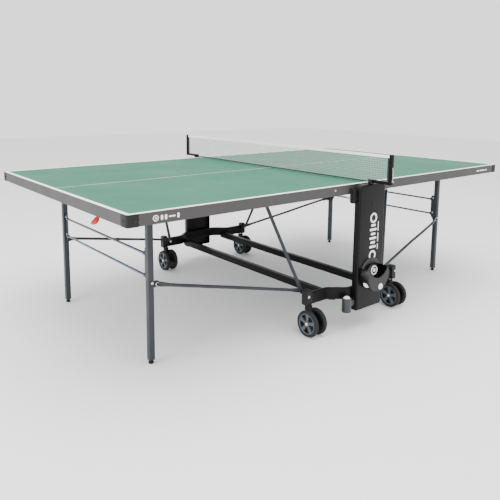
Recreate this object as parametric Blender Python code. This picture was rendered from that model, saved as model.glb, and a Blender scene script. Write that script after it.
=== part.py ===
"""Roll-away table tennis table: two folding halves on a four-caster trolley, with a net.

World frame in metres: +X along the table's length, +Y across it, +Z up. The origin is on the
floor under the middle of the net. "near" is the -Y side, "left" is the -X side.
"""

import math

import bmesh
import bpy
from mathutils import Matrix, Vector

# Playing surface
TABLE_LENGTH = 2.740
TABLE_WIDTH = 1.525
TABLE_HEIGHT = 0.760
CENTRE_GAP = 0.010
BOARD_THICKNESS = 0.006
SEAT_GAP = 0.0003

# Steel apron frame under each board
APRON_HEIGHT = 0.0437
APRON_FLANGE = 0.020
SHEET_WALL = 0.002
APRON_END_SETBACK = 0.045
CORNER_CAP_LEG = 0.050
CORNER_CAP_RADIUS = 0.012
CROSS_BAR_WIDTH = 0.022
CROSS_BAR_HEIGHT = 0.030
TUBE_WALL = 0.0015

# Pivots of the fold
PIVOT_DEPTH = 0.027
STRUT_PIVOT_X = 0.513
STRUT_PIVOT_DEPTH = 0.025
STRUT_TOP_INSET = 0.2475
STRUT_FOOT_INSET = 0.1225
LINK_FOOT_INSET = 0.1125
STRUT_FOOT_X = 0.331
STRUT_FOOT_RISE = 0.048
LINK_FOOT_X = 0.345
LINK_FOOT_RISE = 0.061
PIN_RADIUS = 0.004
PIN_CLEARANCE = 0.0002
PIN_SIDES = 12

# Legs
LEG_END_INSET = 0.245
LEG_SIDE_INSET = 0.2775
LEG_TUBE = 0.025
LEG_TOP_ABOVE_PIVOT = 0.0125
LUG_THICKNESS = 0.003
LUG_CLEARANCE = 0.0008
LUG_DROP = 0.012
GUSSET_WIDTH = 0.028
GUSSET_TOP = 0.530
GUSSET_STEP = 0.390
GUSSET_FOOT = 0.345
ROD_RADIUS = 0.006
ROD_HEIGHTS = {"upper": 0.503, "lower": 0.402}
LINK_PIVOT_HEIGHT = 0.372
LINK_PIVOT_INBOARD = 0.025
LINK_LUG_HEIGHT = 0.030
LINK_LUG_REACH = 0.014
FOOT_RADIUS = 0.015
FOOT_HEIGHT = 0.010
FOOT_NECK_RADIUS = 0.006
FOOT_NECK_HEIGHT = 0.004
FOOT_PLUG_LENGTH = 0.022

# Struts and links: round tubes with flattened, bored ends
STRUT_RADIUS = 0.009
LINK_RADIUS = 0.008
EYE_RADIUS = 0.011
EYE_THICKNESS = 0.003
EYE_LENGTH = 0.044

# Trolley
WHEEL_RADIUS = 0.0685
WHEEL_WIDTH = 0.024
WHEEL_SPACING = 0.060
CASTER_TRAIL = 0.028
CASTER_X = 0.335
CASTER_SIDE_INSET = 0.0675
CASTER_HEADROOM = 0.020
WHEEL_EDGE = 0.004
WHEEL_DISH = 0.006
WHEEL_HUB_RADIUS = 0.016
TYRE_DEPTH = 0.014
AXLE_RADIUS = 0.004
HOUSING_WIDTH = 0.026
HOUSING_RADIUS = 0.026
STEM_RADIUS = 0.008
STEM_GAP = 0.006
STEM_CLEARANCE = 0.0005
STEM_COLLAR_RADIUS = 0.014
FOOT_BAR_HEIGHT = 0.060
FOOT_BAR_THICKNESS = 0.025
FOOT_BAR_TOWER_MARGIN = 0.0175
FOOT_BAR_BEND_RUN = 0.085
END_BLOCK_LENGTH = 0.054
END_BLOCK_WIDTH = 0.042
END_BLOCK_RISE = 0.018
RAIL_OUTSIDE_TOWER = 0.0685
RAIL_WIDTH = 0.025
RAIL_HEIGHT = 0.040
RAIL_DROP = 0.012

# Towers at the middle of each long side
TOWER_WIDTH = 0.205
TOWER_DEPTH = 0.034
TOWER_OFFSET = 0.0155
TOWER_BOTTOM = 0.096
TOWER_TOP_DROP = 0.003
TOWER_CORNER_RADIUS = 0.028
LATCH_HALF_WIDTH = 0.130
LATCH_DEPTH = 0.0125
LATCH_HEIGHT = 0.085
LATCH_TOP_DROP = 0.010
LATCH_CORNER_RADIUS = 0.018

# Net
NET_HEIGHT = 0.1525
NET_OVERHANG = 0.1525
NET_THICKNESS = 0.003
NET_LIFT = 0.0035
POST_SIZE = 0.016
POST_TOP_ABOVE_NET = 0.004
ARM_LIFT = 0.0065
ARM_INNER_OVERLAP = 0.022

# Bat and ball holders on the near tower
HOLDER_HEIGHT = 0.285
HOLDER_RADIUS = 0.086
HOLDER_DEPTH = 0.068
HOLDER_WALL = 0.004
HOLDER_LIP_HEIGHT = 0.012
HOLDER_LIP_ANGLE = 12
HOLDER_BOSS_RADIUS = 0.050
HOLDER_BOSS_DEPTH = 0.018
BALL_TUBE_RADIUS = 0.0245
BALL_TUBE_BORE = 0.0215
BALL_TUBE_LIFT = 0.008
BALL_TUBE_HEIGHT = 0.077
BALL_TUBE_FLOOR = 0.003
BALL_TUBE_GAP = 0.034
BALL_TUBE_STRAP_HEIGHT = 0.030
BALL_TUBE_BACK = 0.018

# Release levers under the table's ends
LEVER_SIDE_INSET = 0.3225
LEVER_WIDTH = 0.024
LEVER_PIVOT_INSET = 0.036
LEVER_PIVOT_DROP = 0.008
LEVER_BARREL_RADIUS = 0.006
LEVER_LENGTH = 0.048
LEVER_ANGLE = 46
LEVER_THICKNESS = 0.004
LEVER_STUB_RADIUS = 0.003
LEVER_EAR_RADIUS = 0.0065

SIDES = {"left": -1, "right": 1}
FLANKS = {"near": -1, "far": 1}

# Values worked out from the sizes above
HALF_WIDTH = TABLE_WIDTH / 2
HALF_LENGTH = TABLE_LENGTH / 2
BOARD_UNDERSIDE = TABLE_HEIGHT - BOARD_THICKNESS
APRON_TOP = BOARD_UNDERSIDE - SEAT_GAP
APRON_BOTTOM = APRON_TOP - APRON_HEIGHT
LEG_X = HALF_LENGTH - LEG_END_INSET
LEG_Y = HALF_WIDTH - LEG_SIDE_INSET
LEG_PIVOT_HEIGHT = TABLE_HEIGHT - PIVOT_DEPTH
STRUT_PIVOT_HEIGHT = TABLE_HEIGHT - STRUT_PIVOT_DEPTH
CROSS_BAR_INSIDE = HALF_WIDTH - APRON_FLANGE - SEAT_GAP
BAR_BOTTOM = 2 * WHEEL_RADIUS + CASTER_HEADROOM
BAR_TOP = BAR_BOTTOM + FOOT_BAR_HEIGHT
CASTER_Y = HALF_WIDTH - CASTER_SIDE_INSET
TOWER_BACK = HALF_WIDTH + TOWER_OFFSET
TOWER_FRONT = TOWER_BACK + TOWER_DEPTH
TOWER_TOP = TABLE_HEIGHT - TOWER_TOP_DROP
FOOT_BAR_TOWER_X = TOWER_WIDTH / 2 + FOOT_BAR_TOWER_MARGIN
FOOT_BAR_BEND_X = FOOT_BAR_TOWER_X + FOOT_BAR_BEND_RUN
FOOT_BAR_TOWER_Y = TOWER_BACK - SEAT_GAP - FOOT_BAR_THICKNESS / 2
RAIL_X = TOWER_WIDTH / 2 + RAIL_OUTSIDE_TOWER
POST_Y = HALF_WIDTH + NET_OVERHANG
ARM_BOTTOM = TOWER_TOP + ARM_LIFT
ARM_TOP = ARM_BOTTOM + POST_SIZE
BORE_RADIUS = (PIN_RADIUS + PIN_CLEARANCE) / math.cos(math.pi / PIN_SIDES)


# ---------------------------------------------------------------- tools


def material(name, colour, roughness, metallic=0.0):
    finish = bpy.data.materials.new(name)
    finish.use_nodes = True
    shader = finish.node_tree.nodes["Principled BSDF"]
    shader.inputs["Base Color"].default_value = (*colour, 1.0)
    shader.inputs["Roughness"].default_value = roughness
    shader.inputs["Metallic"].default_value = metallic
    finish.diffuse_color = (*colour, 1.0)
    return finish


def new_object(name, bm, finish=None):
    """One object from a closed bmesh, its faces turned to point outwards."""
    bmesh.ops.recalc_face_normals(bm, faces=bm.faces)
    mesh = bpy.data.meshes.new(name)
    bm.to_mesh(mesh)
    bm.free()
    piece = bpy.data.objects.new(name, mesh)
    bpy.context.scene.collection.objects.link(piece)
    if finish:
        mesh.materials.append(finish)
    else:
        piece.hide_render = True
        piece.display_type = "WIRE"
    return piece


def smooth(piece, angle=35):
    piece.data.shade_smooth()
    piece.data.set_sharp_from_angle(angle=math.radians(angle))
    return piece


def box(name, low, high, finish=None):
    """A block between two corners, which may come in either order."""
    low, high = Vector(low), Vector(high)
    size = high - low
    bm = bmesh.new()
    bmesh.ops.create_cube(bm, size=1.0)
    bmesh.ops.scale(bm, vec=size, verts=bm.verts)
    bmesh.ops.translate(bm, vec=(low + high) / 2, verts=bm.verts)
    return new_object(name, bm, finish)


def on_axis(axis, along, first, second):
    """A point from its place along one axis and its two other coordinates, in X, Y, Z order."""
    point = [first, second]
    point.insert("xyz".index(axis), along)
    return point


def prism(name, outline, axis, start, end, finish=None):
    """A closed outline, in the two other axes, extruded along an axis."""
    bm = bmesh.new()
    ring = [bm.verts.new(on_axis(axis, start, a, b)) for a, b in outline]
    face = bm.faces.new(ring)
    pushed = bmesh.ops.extrude_face_region(bm, geom=[face])["geom"]
    shift = Vector(on_axis(axis, end - start, 0.0, 0.0))
    bmesh.ops.translate(bm, vec=shift, verts=[v for v in pushed if isinstance(v, bmesh.types.BMVert)])
    return new_object(name, bm, finish)


def arc(centre, radius, start, end, steps):
    """Points of an arc from one angle to another, in degrees."""
    angles = [math.radians(start + (end - start) * i / steps) for i in range(steps + 1)]
    return [(centre[0] + radius * math.cos(a), centre[1] + radius * math.sin(a)) for a in angles]


def circle(centre, radius, steps=PIN_SIDES):
    return arc(centre, radius, 0, 360, steps)[:-1]


def square_tube(name, axis, start, end, centre, size, wall, finish, corner=0.003):
    """A rectangular tube, open at both ends, with rounded outer corners."""
    halves = [size[0] / 2, size[1] / 2]
    outer = []
    for turn, (sx, sy) in enumerate(((1, 1), (-1, 1), (-1, -1), (1, -1))):
        middle = (centre[0] + sx * (halves[0] - corner), centre[1] + sy * (halves[1] - corner))
        outer += arc(middle, corner, 90 * turn, 90 * turn + 90, 2)
    inner = []
    for sx, sy in ((1, 1), (-1, 1), (-1, -1), (1, -1)):
        inner.append((centre[0] + sx * (halves[0] - wall), centre[1] + sy * (halves[1] - wall)))
    tube = prism(name, outer, axis, start, end, finish)
    margin = 0.01 if end > start else -0.01
    return cut(tube, prism(name + "_bore", inner, axis, start - margin, end + margin))


def rod_between(name, start, end, radius, finish=None, steps=12):
    """A round bar from one point to another."""
    start, end = Vector(start), Vector(end)
    bm = bmesh.new()
    turn = (end - start).to_track_quat("Z", "Y").to_matrix().to_4x4()
    matrix = Matrix.Translation((start + end) / 2) @ turn
    bmesh.ops.create_cone(bm, cap_ends=True, segments=steps, radius1=radius, radius2=radius,
                          depth=(end - start).length, matrix=matrix)
    return new_object(name, bm, finish)


def turned(name, profile, axis, centre, steps, finish):
    """A profile of (radius, along) points that starts and ends on the axis, spun round it."""
    bm = bmesh.new()
    rings = []
    for radius, along in profile:
        if radius == 0:
            rings.append([bm.verts.new(on_axis(axis, along, 0.0, 0.0))])
        else:
            rings.append([bm.verts.new(on_axis(axis, along, a, b)) for a, b in circle((0, 0), radius, steps)])
    for low, high in zip(rings, rings[1:]):
        for i in range(steps):
            j = (i + 1) % steps
            corners = [low[i % len(low)], low[j % len(low)], high[j % len(high)], high[i % len(high)]]
            bm.faces.new(list(dict.fromkeys(corners)))
    bmesh.ops.translate(bm, vec=centre, verts=bm.verts)
    return smooth(new_object(name, bm, finish))


def combine(piece, operand, operation):
    change = piece.modifiers.new(operation.lower() + "_" + operand.name, "BOOLEAN")
    change.operation = operation
    change.object = operand
    return piece


def cut(piece, *operands):
    for operand in operands:
        combine(piece, operand, "DIFFERENCE")
    return piece


def weld(piece, *operands):
    for operand in operands:
        combine(piece, operand, "UNION")
    return piece


def soften(piece, width, segments=1):
    edge = piece.modifiers.new("soft_edges", "BEVEL")
    edge.width = width
    edge.segments = segments
    edge.limit_method = "ANGLE"
    return piece


def set_origin(piece, origin):
    """Moves an object's origin to a point, such as one on its joint's axis, and leaves its mesh in place."""
    piece.data.transform(Matrix.Translation(-Vector(origin)))
    piece.location = origin
    return piece


# ---------------------------------------------------------------- playing halves


def board(side, sign, finish):
    low = (sign * CENTRE_GAP / 2, -HALF_WIDTH, BOARD_UNDERSIDE)
    high = (sign * HALF_LENGTH, HALF_WIDTH, TABLE_HEIGHT)
    panel = box(f"{side}_board", low, high, finish)
    return set_origin(panel, (sign * STRUT_PIVOT_X, 0, STRUT_PIVOT_HEIGHT))


def channel_outline(outside, inside):
    """A C section, open towards the middle of the table, as (across, up) points."""
    inward = math.copysign(SHEET_WALL, inside - outside)
    top, bottom = APRON_TOP, APRON_BOTTOM
    return [
        (outside, bottom), (inside, bottom), (inside, bottom + SHEET_WALL),
        (outside + inward, bottom + SHEET_WALL), (outside + inward, top - SHEET_WALL),
        (inside, top - SHEET_WALL), (inside, top), (outside, top),
    ]


def side_apron(side, sign, flank, across, finish):
    outline = channel_outline(across * HALF_WIDTH, across * (HALF_WIDTH - APRON_FLANGE))
    start = sign * APRON_END_SETBACK
    end = sign * (HALF_LENGTH - CORNER_CAP_LEG - SEAT_GAP)
    return prism(f"{side}_{flank}_side_apron", outline, "x", start, end, finish)


def end_apron(side, sign, finish):
    outline = channel_outline(sign * HALF_LENGTH, sign * (HALF_LENGTH - APRON_FLANGE))
    reach = HALF_WIDTH - CORNER_CAP_LEG - SEAT_GAP
    apron = prism(f"{side}_end_apron", outline, "y", -reach, reach, finish)
    pivot = lever_pivot(sign)
    for edge in (-1, 1):
        inner = pivot[1] + edge * (LEVER_WIDTH / 2 + LUG_CLEARANCE)
        outer = inner + edge * LUG_THICKNESS
        top = APRON_BOTTOM + SHEET_WALL / 2
        radius = LEVER_EAR_RADIUS
        lobe = arc((pivot[0] * sign, pivot[2]), radius, 180, 360, 6)
        root = HALF_LENGTH - SHEET_WALL
        outline = [(lobe[0][0], top)] + lobe + [(root, APRON_BOTTOM - radius / 2), (root, top)]
        outline = [(sign * x, z) for x, z in outline]
        weld(apron, prism(f"{apron.name}_ear_{edge}", outline, "y", inner, outer))
    reach = LEVER_WIDTH / 2 + LUG_CLEARANCE + 2 * LUG_THICKNESS
    bore_radius = (LEVER_STUB_RADIUS + PIN_CLEARANCE) / math.cos(math.pi / PIN_SIDES)
    bore = prism(f"{apron.name}_bore", circle((pivot[0], pivot[2]), bore_radius), "y",
                 pivot[1] - reach, pivot[1] + reach)
    return cut(apron, bore)


def corner_cap(side, sign, flank, across, finish):
    """An L-shaped plastic corner with a rounded outer edge."""
    x, y = HALF_LENGTH, HALF_WIDTH
    leg, wall, radius = CORNER_CAP_LEG, APRON_FLANGE, CORNER_CAP_RADIUS
    outline = [(x - leg, y), (x - leg, y - wall), (x - wall, y - wall), (x - wall, y - leg), (x, y - leg)]
    outline += arc((x - radius, y - radius), radius, 0, 90, 5)
    outline = [(sign * a, across * b) for a, b in outline]
    return prism(f"{side}_{flank}_corner_cap", outline, "z", APRON_BOTTOM, APRON_TOP, finish)


def inner_bar(side, sign, finish):
    """The tube that closes the frame beside the net."""
    middle = sign * (APRON_END_SETBACK + CROSS_BAR_WIDTH / 2)
    centre = (middle, APRON_TOP - CROSS_BAR_HEIGHT / 2)
    return square_tube(f"{side}_inner_bar", "y", -CROSS_BAR_INSIDE, CROSS_BAR_INSIDE, centre,
                       (CROSS_BAR_WIDTH, CROSS_BAR_HEIGHT), TUBE_WALL, finish)


def pivot_bar(name, sign, pivot_x, pivot_z, centres, slot, finish):
    """A cross tube under the board with a pair of bored ears, and a pin through them, at each centre.

    slot is the width left between a pair's ears. The tube lies on the outer side of the pivots.
    """
    clear = math.hypot(LEG_TUBE, LEG_TUBE) / 2 + 0.004
    middle = pivot_x + sign * (clear + CROSS_BAR_WIDTH / 2)
    centre = (middle, APRON_TOP - CROSS_BAR_HEIGHT / 2)
    bar = square_tube(name, "y", -CROSS_BAR_INSIDE, CROSS_BAR_INSIDE, centre,
                      (CROSS_BAR_WIDTH, CROSS_BAR_HEIGHT), TUBE_WALL, finish)
    ear_top = APRON_TOP - 0.001
    root = pivot_x + sign * (clear + TUBE_WALL)
    toe = pivot_x - sign * LUG_DROP
    for number, y in enumerate(centres):
        for edge in (-1, 1):
            inner = y + edge * slot / 2
            outline = [(root, ear_top), (toe, ear_top), (toe, pivot_z - LUG_DROP / 2),
                       (toe + sign * LUG_DROP / 2, pivot_z - LUG_DROP), (root, pivot_z - LUG_DROP)]
            weld(bar, prism(f"{name}_ear_{number}_{edge}", outline, "y", inner, inner + edge * LUG_THICKNESS))
        reach = slot / 2 + LUG_THICKNESS / 2
        pin = circle((pivot_x, pivot_z), PIN_RADIUS)
        weld(bar, prism(f"{name}_pin_{number}", pin, "y", y - reach, y + reach))
    return bar


def lever_pivot(sign):
    return (sign * (HALF_LENGTH - LEVER_PIVOT_INSET), -(HALF_WIDTH - LEVER_SIDE_INSET),
            APRON_BOTTOM - LEVER_PIVOT_DROP)


def release_lever(side, sign, finish):
    """A flat paddle that hangs below the end apron, on a barrel between two ears."""
    pivot = lever_pivot(sign)
    low, high = pivot[1] - LEVER_WIDTH / 2, pivot[1] + LEVER_WIDTH / 2
    centre = (pivot[0], pivot[2])
    lever = prism(f"{side}_release_lever", circle(centre, LEVER_BARREL_RADIUS), "y", low, high, finish)
    down = math.radians(LEVER_ANGLE)
    along = Vector((sign * math.cos(down), -math.sin(down)))
    across = Vector((-along.y, along.x)) * LEVER_THICKNESS / 2
    middle = Vector(centre)
    tip = middle + along * LEVER_LENGTH
    blade = [middle + across, tip + across, tip - across, middle - across]
    weld(lever, prism(f"{lever.name}_blade", [tuple(p) for p in blade], "y", low, high))
    reach = LUG_CLEARANCE + LUG_THICKNESS
    stub = circle(centre, LEVER_STUB_RADIUS)
    weld(lever, prism(f"{lever.name}_stub", stub, "y", low - reach, high + reach))
    return set_origin(lever, pivot)


# ---------------------------------------------------------------- legs


def leg(side, sign, flank, across, finish):
    """A square tube with a gusset for the cross rods, a lug for its link, and a bored top."""
    x, y = sign * LEG_X, across * LEG_Y
    name = f"{side}_{flank}_leg"
    bottom = FOOT_HEIGHT + FOOT_NECK_HEIGHT
    top = LEG_PIVOT_HEIGHT + LEG_TOP_ABOVE_PIVOT
    tube = square_tube(name, "z", bottom, top, (x, y), (LEG_TUBE, LEG_TUBE), TUBE_WALL, finish)
    half = LEG_TUBE / 2
    face = across * (LEG_Y - half + TUBE_WALL / 2)
    edge = across * (LEG_Y - half - GUSSET_WIDTH)
    outline = [(face, GUSSET_FOOT), (face, GUSSET_TOP), (edge, GUSSET_TOP), (edge, GUSSET_STEP)]
    weld(tube, prism(f"{name}_gusset", outline, "x", x - LUG_THICKNESS / 2, x + LUG_THICKNESS / 2))
    outer = across * (LEG_Y + half)
    reach = sign * (LEG_X - LINK_PIVOT_INBOARD - LINK_LUG_REACH)
    low = (x + sign * half * 0.6, outer - across * TUBE_WALL / 2, LINK_PIVOT_HEIGHT - LINK_LUG_HEIGHT / 2)
    high = (reach, outer + across * LUG_THICKNESS, LINK_PIVOT_HEIGHT + LINK_LUG_HEIGHT / 2)
    weld(tube, box(f"{name}_link_lug", low, high))
    bore = circle((x, LEG_PIVOT_HEIGHT), BORE_RADIUS)
    cut(tube, prism(f"{name}_bore", bore, "y", y - LEG_TUBE, y + LEG_TUBE))
    return set_origin(tube, (x, y, LEG_PIVOT_HEIGHT))


def cross_rod(side, sign, level, height, finish):
    reach = LEG_Y - LEG_TUBE / 2 - GUSSET_WIDTH - SEAT_GAP
    x = sign * LEG_X
    rod = rod_between(f"{side}_{level}_cross_rod", (x, -reach, height), (x, reach, height), ROD_RADIUS, finish)
    return smooth(set_origin(rod, (x, 0, LEG_PIVOT_HEIGHT)))


def levelling_foot(side, sign, flank, across, finish):
    """A round foot on a neck, with a plug that turns inside the leg."""
    shoulder = FOOT_HEIGHT + FOOT_NECK_HEIGHT + 0.0005
    plug_radius = LEG_TUBE / 2 - TUBE_WALL - 0.0005
    profile = [
        (0, 0), (FOOT_RADIUS * 0.9, 0), (FOOT_RADIUS, FOOT_HEIGHT * 0.3), (FOOT_RADIUS * 0.85, FOOT_HEIGHT),
        (FOOT_NECK_RADIUS, FOOT_HEIGHT), (FOOT_NECK_RADIUS, shoulder), (plug_radius, shoulder),
        (plug_radius, shoulder + FOOT_PLUG_LENGTH), (0, shoulder + FOOT_PLUG_LENGTH),
    ]
    foot = turned(f"{side}_{flank}_foot", profile, "z", (0, 0, 0), 12, finish)
    foot.location = (sign * LEG_X, across * LEG_Y, 0)
    return foot


# ---------------------------------------------------------------- struts and links


def tube_with_eyes(name, start, end, radius, finish, end_shift=0.0):
    """A round tube between two pivots, its ends flattened to bored eyes that face along Y.

    end_shift sets the tube's middle to one side of its last eye.
    """
    start, end = Vector(start), Vector(end)
    run = end - start
    flat = Vector((run.x, 0, run.z)).normalized()
    tube_start = start + flat * (EYE_LENGTH - EYE_RADIUS)
    tube_end = end - flat * (EYE_LENGTH - EYE_RADIUS) + Vector((0, end_shift, 0))
    tube = smooth(rod_between(name, tube_start, tube_end, radius, finish, 10))
    for number, (pivot, heading) in enumerate(((start, flat), (end, -flat))):
        angle = math.degrees(math.atan2(heading.z, heading.x))
        outline = arc((pivot.x, pivot.z), EYE_RADIUS, angle + 90, angle + 270, 6)
        far = pivot + heading * EYE_LENGTH
        outline += arc((far.x, far.z), radius * 0.8, angle - 90, angle + 90, 2)
        low, high = pivot.y - EYE_THICKNESS / 2, pivot.y + EYE_THICKNESS / 2
        weld(tube, prism(f"{name}_eye_{number}", outline, "y", low, high))
    for number, pivot in enumerate((start, end)):
        hole = circle((pivot.x, pivot.z), BORE_RADIUS)
        cut(tube, prism(f"{name}_hole_{number}", hole, "y", pivot.y - 0.02, pivot.y + 0.02))
    return set_origin(tube, start)


def strut_foot(sign, across):
    return Vector((sign * STRUT_FOOT_X, across * (HALF_WIDTH - STRUT_FOOT_INSET), BAR_BOTTOM + STRUT_FOOT_RISE))


def strut_top(sign, across):
    return Vector((sign * STRUT_PIVOT_X, across * (HALF_WIDTH - STRUT_TOP_INSET), STRUT_PIVOT_HEIGHT))


def link_foot(sign, across):
    return Vector((sign * LINK_FOOT_X, across * (HALF_WIDTH - LINK_FOOT_INSET), BAR_BOTTOM + LINK_FOOT_RISE))


def link_top(sign, across):
    """The link's eye lies against the outside of the leg's lug."""
    y = LEG_Y + LEG_TUBE / 2 + LUG_THICKNESS + LUG_CLEARANCE + EYE_THICKNESS / 2
    return Vector((sign * (LEG_X - LINK_PIVOT_INBOARD), across * y, LINK_PIVOT_HEIGHT))


# ---------------------------------------------------------------- trolley


def foot_bar(flank, across, finish):
    """A bent rectangular tube with an end block and two pivot pins over each caster."""
    name = f"{flank}_foot_bar"
    half = FOOT_BAR_THICKNESS / 2
    line = [(-CASTER_X, CASTER_Y), (-FOOT_BAR_BEND_X, CASTER_Y), (-FOOT_BAR_TOWER_X, FOOT_BAR_TOWER_Y),
            (FOOT_BAR_TOWER_X, FOOT_BAR_TOWER_Y), (FOOT_BAR_BEND_X, CASTER_Y), (CASTER_X, CASTER_Y)]
    outline = offset_line(line, half) + offset_line(line, -half)[::-1]
    outline = [(x, across * y) for x, y in outline]
    bar = prism(name, outline, "z", BAR_BOTTOM, BAR_TOP, finish)
    for side, sign in SIDES.items():
        weld(bar, end_block(f"{name}_{side}_block", sign, across))
        for label, pivot in (("strut", strut_foot(sign, across)), ("link", link_foot(sign, across))):
            tip = pivot.y - across * (EYE_THICKNESS / 2 + 0.003)
            pin = circle((pivot.x, pivot.z), PIN_RADIUS)
            weld(bar, prism(f"{name}_{side}_{label}_pin", pin, "y", across * CASTER_Y, tip))
    past_end = CASTER_X + END_BLOCK_LENGTH
    inside_line = [(-past_end, CASTER_Y)] + line[1:-1] + [(past_end, CASTER_Y)]
    inner = offset_line(inside_line, half - SHEET_WALL) + offset_line(inside_line, SHEET_WALL - half)[::-1]
    inner = [(x, across * y) for x, y in inner]
    cut(bar, prism(f"{name}_bore", inner, "z", BAR_BOTTOM + SHEET_WALL, BAR_TOP - SHEET_WALL))
    for side, sign in SIDES.items():
        stem_bore = circle((sign * CASTER_X, across * CASTER_Y), STEM_RADIUS + STEM_CLEARANCE)
        cut(bar, prism(f"{name}_{side}_stem_bore", stem_bore, "z", BAR_BOTTOM - 0.01, BAR_BOTTOM + 0.01))
    return bar


def end_block(name, sign, across):
    outer = sign * (CASTER_X + END_BLOCK_LENGTH / 2)
    inner = sign * (CASTER_X - END_BLOCK_LENGTH / 2)
    low = (outer, across * (CASTER_Y - END_BLOCK_WIDTH / 2), BAR_BOTTOM - 0.001)
    high = (inner, across * (CASTER_Y + END_BLOCK_WIDTH / 2), BAR_TOP + END_BLOCK_RISE)
    return box(name, low, high)


def offset_line(line, distance):
    """A bent line moved sideways, with mitred corners."""
    points = [Vector(p) for p in line]
    moved = []
    for i, point in enumerate(points):
        before = (point - points[i - 1]).normalized() if i else None
        after = (points[i + 1] - point).normalized() if i + 1 < len(points) else None
        heading = ((before or after) + (after or before)).normalized()
        normal = Vector((-heading.y, heading.x))
        stretch = 1.0 / max(0.2, abs(heading.dot(before or after)))
        moved.append(tuple(point + normal * distance * stretch))
    return moved


def cross_rail(side, sign, finish):
    """A tube from one foot bar to the other, its ends cut to the bars' bend."""
    slope = (FOOT_BAR_TOWER_Y - CASTER_Y) / (FOOT_BAR_BEND_X - FOOT_BAR_TOWER_X)
    slant = math.hypot(1, slope)
    outline = []
    for x in (RAIL_X - RAIL_WIDTH / 2, RAIL_X + RAIL_WIDTH / 2):
        bar_line = CASTER_Y + slope * (FOOT_BAR_BEND_X - x)
        reach = bar_line - (FOOT_BAR_THICKNESS / 2 + SEAT_GAP) * slant
        outline.append((sign * x, reach))
    ring = outline + [(x, -y) for x, y in outline[::-1]]
    top = BAR_BOTTOM + RAIL_HEIGHT - RAIL_DROP
    bottom = BAR_BOTTOM - RAIL_DROP
    rail = prism(f"{side}_cross_rail", ring, "z", bottom, top, finish)
    bore = [(sign * (RAIL_X - RAIL_WIDTH / 2 + TUBE_WALL), bottom + TUBE_WALL),
            (sign * (RAIL_X + RAIL_WIDTH / 2 - TUBE_WALL), bottom + TUBE_WALL),
            (sign * (RAIL_X + RAIL_WIDTH / 2 - TUBE_WALL), top - TUBE_WALL),
            (sign * (RAIL_X - RAIL_WIDTH / 2 + TUBE_WALL), top - TUBE_WALL)]
    return cut(rail, prism(f"{side}_cross_rail_bore", bore, "y", -HALF_WIDTH, HALF_WIDTH))


def tower(flank, across, finish):
    """A pressed steel column, open at the back, with the latch block across its head."""
    half, radius = TOWER_WIDTH / 2, TOWER_CORNER_RADIUS
    name = f"{flank}_tower"

    def face(inset):
        top, side = TOWER_TOP - inset, half - inset
        bend = radius - inset
        corners = arc((side - bend, top - bend), bend, 0, 90, 5)
        corners += arc((bend - side, top - bend), bend, 90, 180, 5)
        return [(-side, TOWER_BOTTOM + inset), (side, TOWER_BOTTOM + inset)] + corners

    column = prism(name, face(0), "y", across * TOWER_BACK, across * TOWER_FRONT, finish)
    pocket_start = across * (TOWER_BACK - 0.01)
    pocket_end = across * (TOWER_FRONT - SHEET_WALL)
    cut(column, prism(f"{name}_pocket", face(SHEET_WALL), "y", pocket_start, pocket_end))
    weld(column, latch_block(f"{name}_latch", across))
    return smooth(column)


def latch_block(name, across):
    """The block behind the tower's head that both halves latch to."""
    top = TOWER_TOP - LATCH_TOP_DROP
    bottom = top - LATCH_HEIGHT
    half, radius = LATCH_HALF_WIDTH, LATCH_CORNER_RADIUS
    outline = arc((half - radius, bottom + radius), radius, -90, 0, 4)
    outline += arc((half - radius, top - radius), radius, 0, 90, 4)
    outline += arc((radius - half, top - radius), radius, 90, 180, 4)
    outline += arc((radius - half, bottom + radius), radius, 180, 270, 4)
    start = across * (TOWER_BACK + 0.001)
    return prism(name, outline, "y", start, start - across * LATCH_DEPTH)


def bat_holder(finish):
    """A moulded pocket: a round back with a boss, an open-topped rim, and a lip along its front edge."""
    back = -(TOWER_FRONT + SEAT_GAP)
    front = back - HOLDER_DEPTH
    centre = (0, HOLDER_HEIGHT)
    start, end = 180 - HOLDER_LIP_ANGLE, 360 + HOLDER_LIP_ANGLE

    def band(name, outer, inner, first, last):
        outline = arc(centre, outer, start, end, 18) + arc(centre, inner, start, end, 18)[::-1]
        return prism(name, outline, "y", first, last)

    holder = prism("bat_holder", circle(centre, HOLDER_RADIUS, 28), "y", back, back - HOLDER_WALL, finish)
    boss = circle(centre, HOLDER_BOSS_RADIUS, 24)
    weld(holder, prism("bat_holder_boss", boss, "y", back, back - HOLDER_BOSS_DEPTH))
    weld(holder, band("bat_holder_rim", HOLDER_RADIUS, HOLDER_RADIUS - HOLDER_WALL, back - HOLDER_WALL / 2, front))
    lip_edge = HOLDER_RADIUS - HOLDER_WALL - HOLDER_LIP_HEIGHT
    weld(holder, band("bat_holder_lip", HOLDER_RADIUS - HOLDER_WALL / 2, lip_edge, front + HOLDER_WALL, front))
    return smooth(holder)


def ball_tube(finish):
    """An upright cup beside the tower, on a short strap."""
    x = -(TOWER_WIDTH / 2 + BALL_TUBE_GAP + BALL_TUBE_RADIUS)
    y = -(TOWER_BACK + BALL_TUBE_BACK)
    bottom = TOWER_BOTTOM + BALL_TUBE_LIFT
    top = bottom + BALL_TUBE_HEIGHT
    cup = prism("ball_tube", circle((x, y), BALL_TUBE_RADIUS, 24), "z", bottom, top, finish)
    bore = circle((x, y), BALL_TUBE_BORE, 24)
    floor = bottom + BALL_TUBE_FLOOR
    cut(cup, prism("ball_tube_bore", bore, "z", floor, top + 0.01))
    middle = (bottom + top) / 2
    low = (x + (BALL_TUBE_RADIUS + BALL_TUBE_BORE) / 2, y - 0.004, middle - BALL_TUBE_STRAP_HEIGHT / 2)
    high = (-(TOWER_WIDTH / 2 + SEAT_GAP), y, middle + BALL_TUBE_STRAP_HEIGHT / 2)
    weld(cup, box("ball_tube_strap", low, high))
    return smooth(cup)


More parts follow.
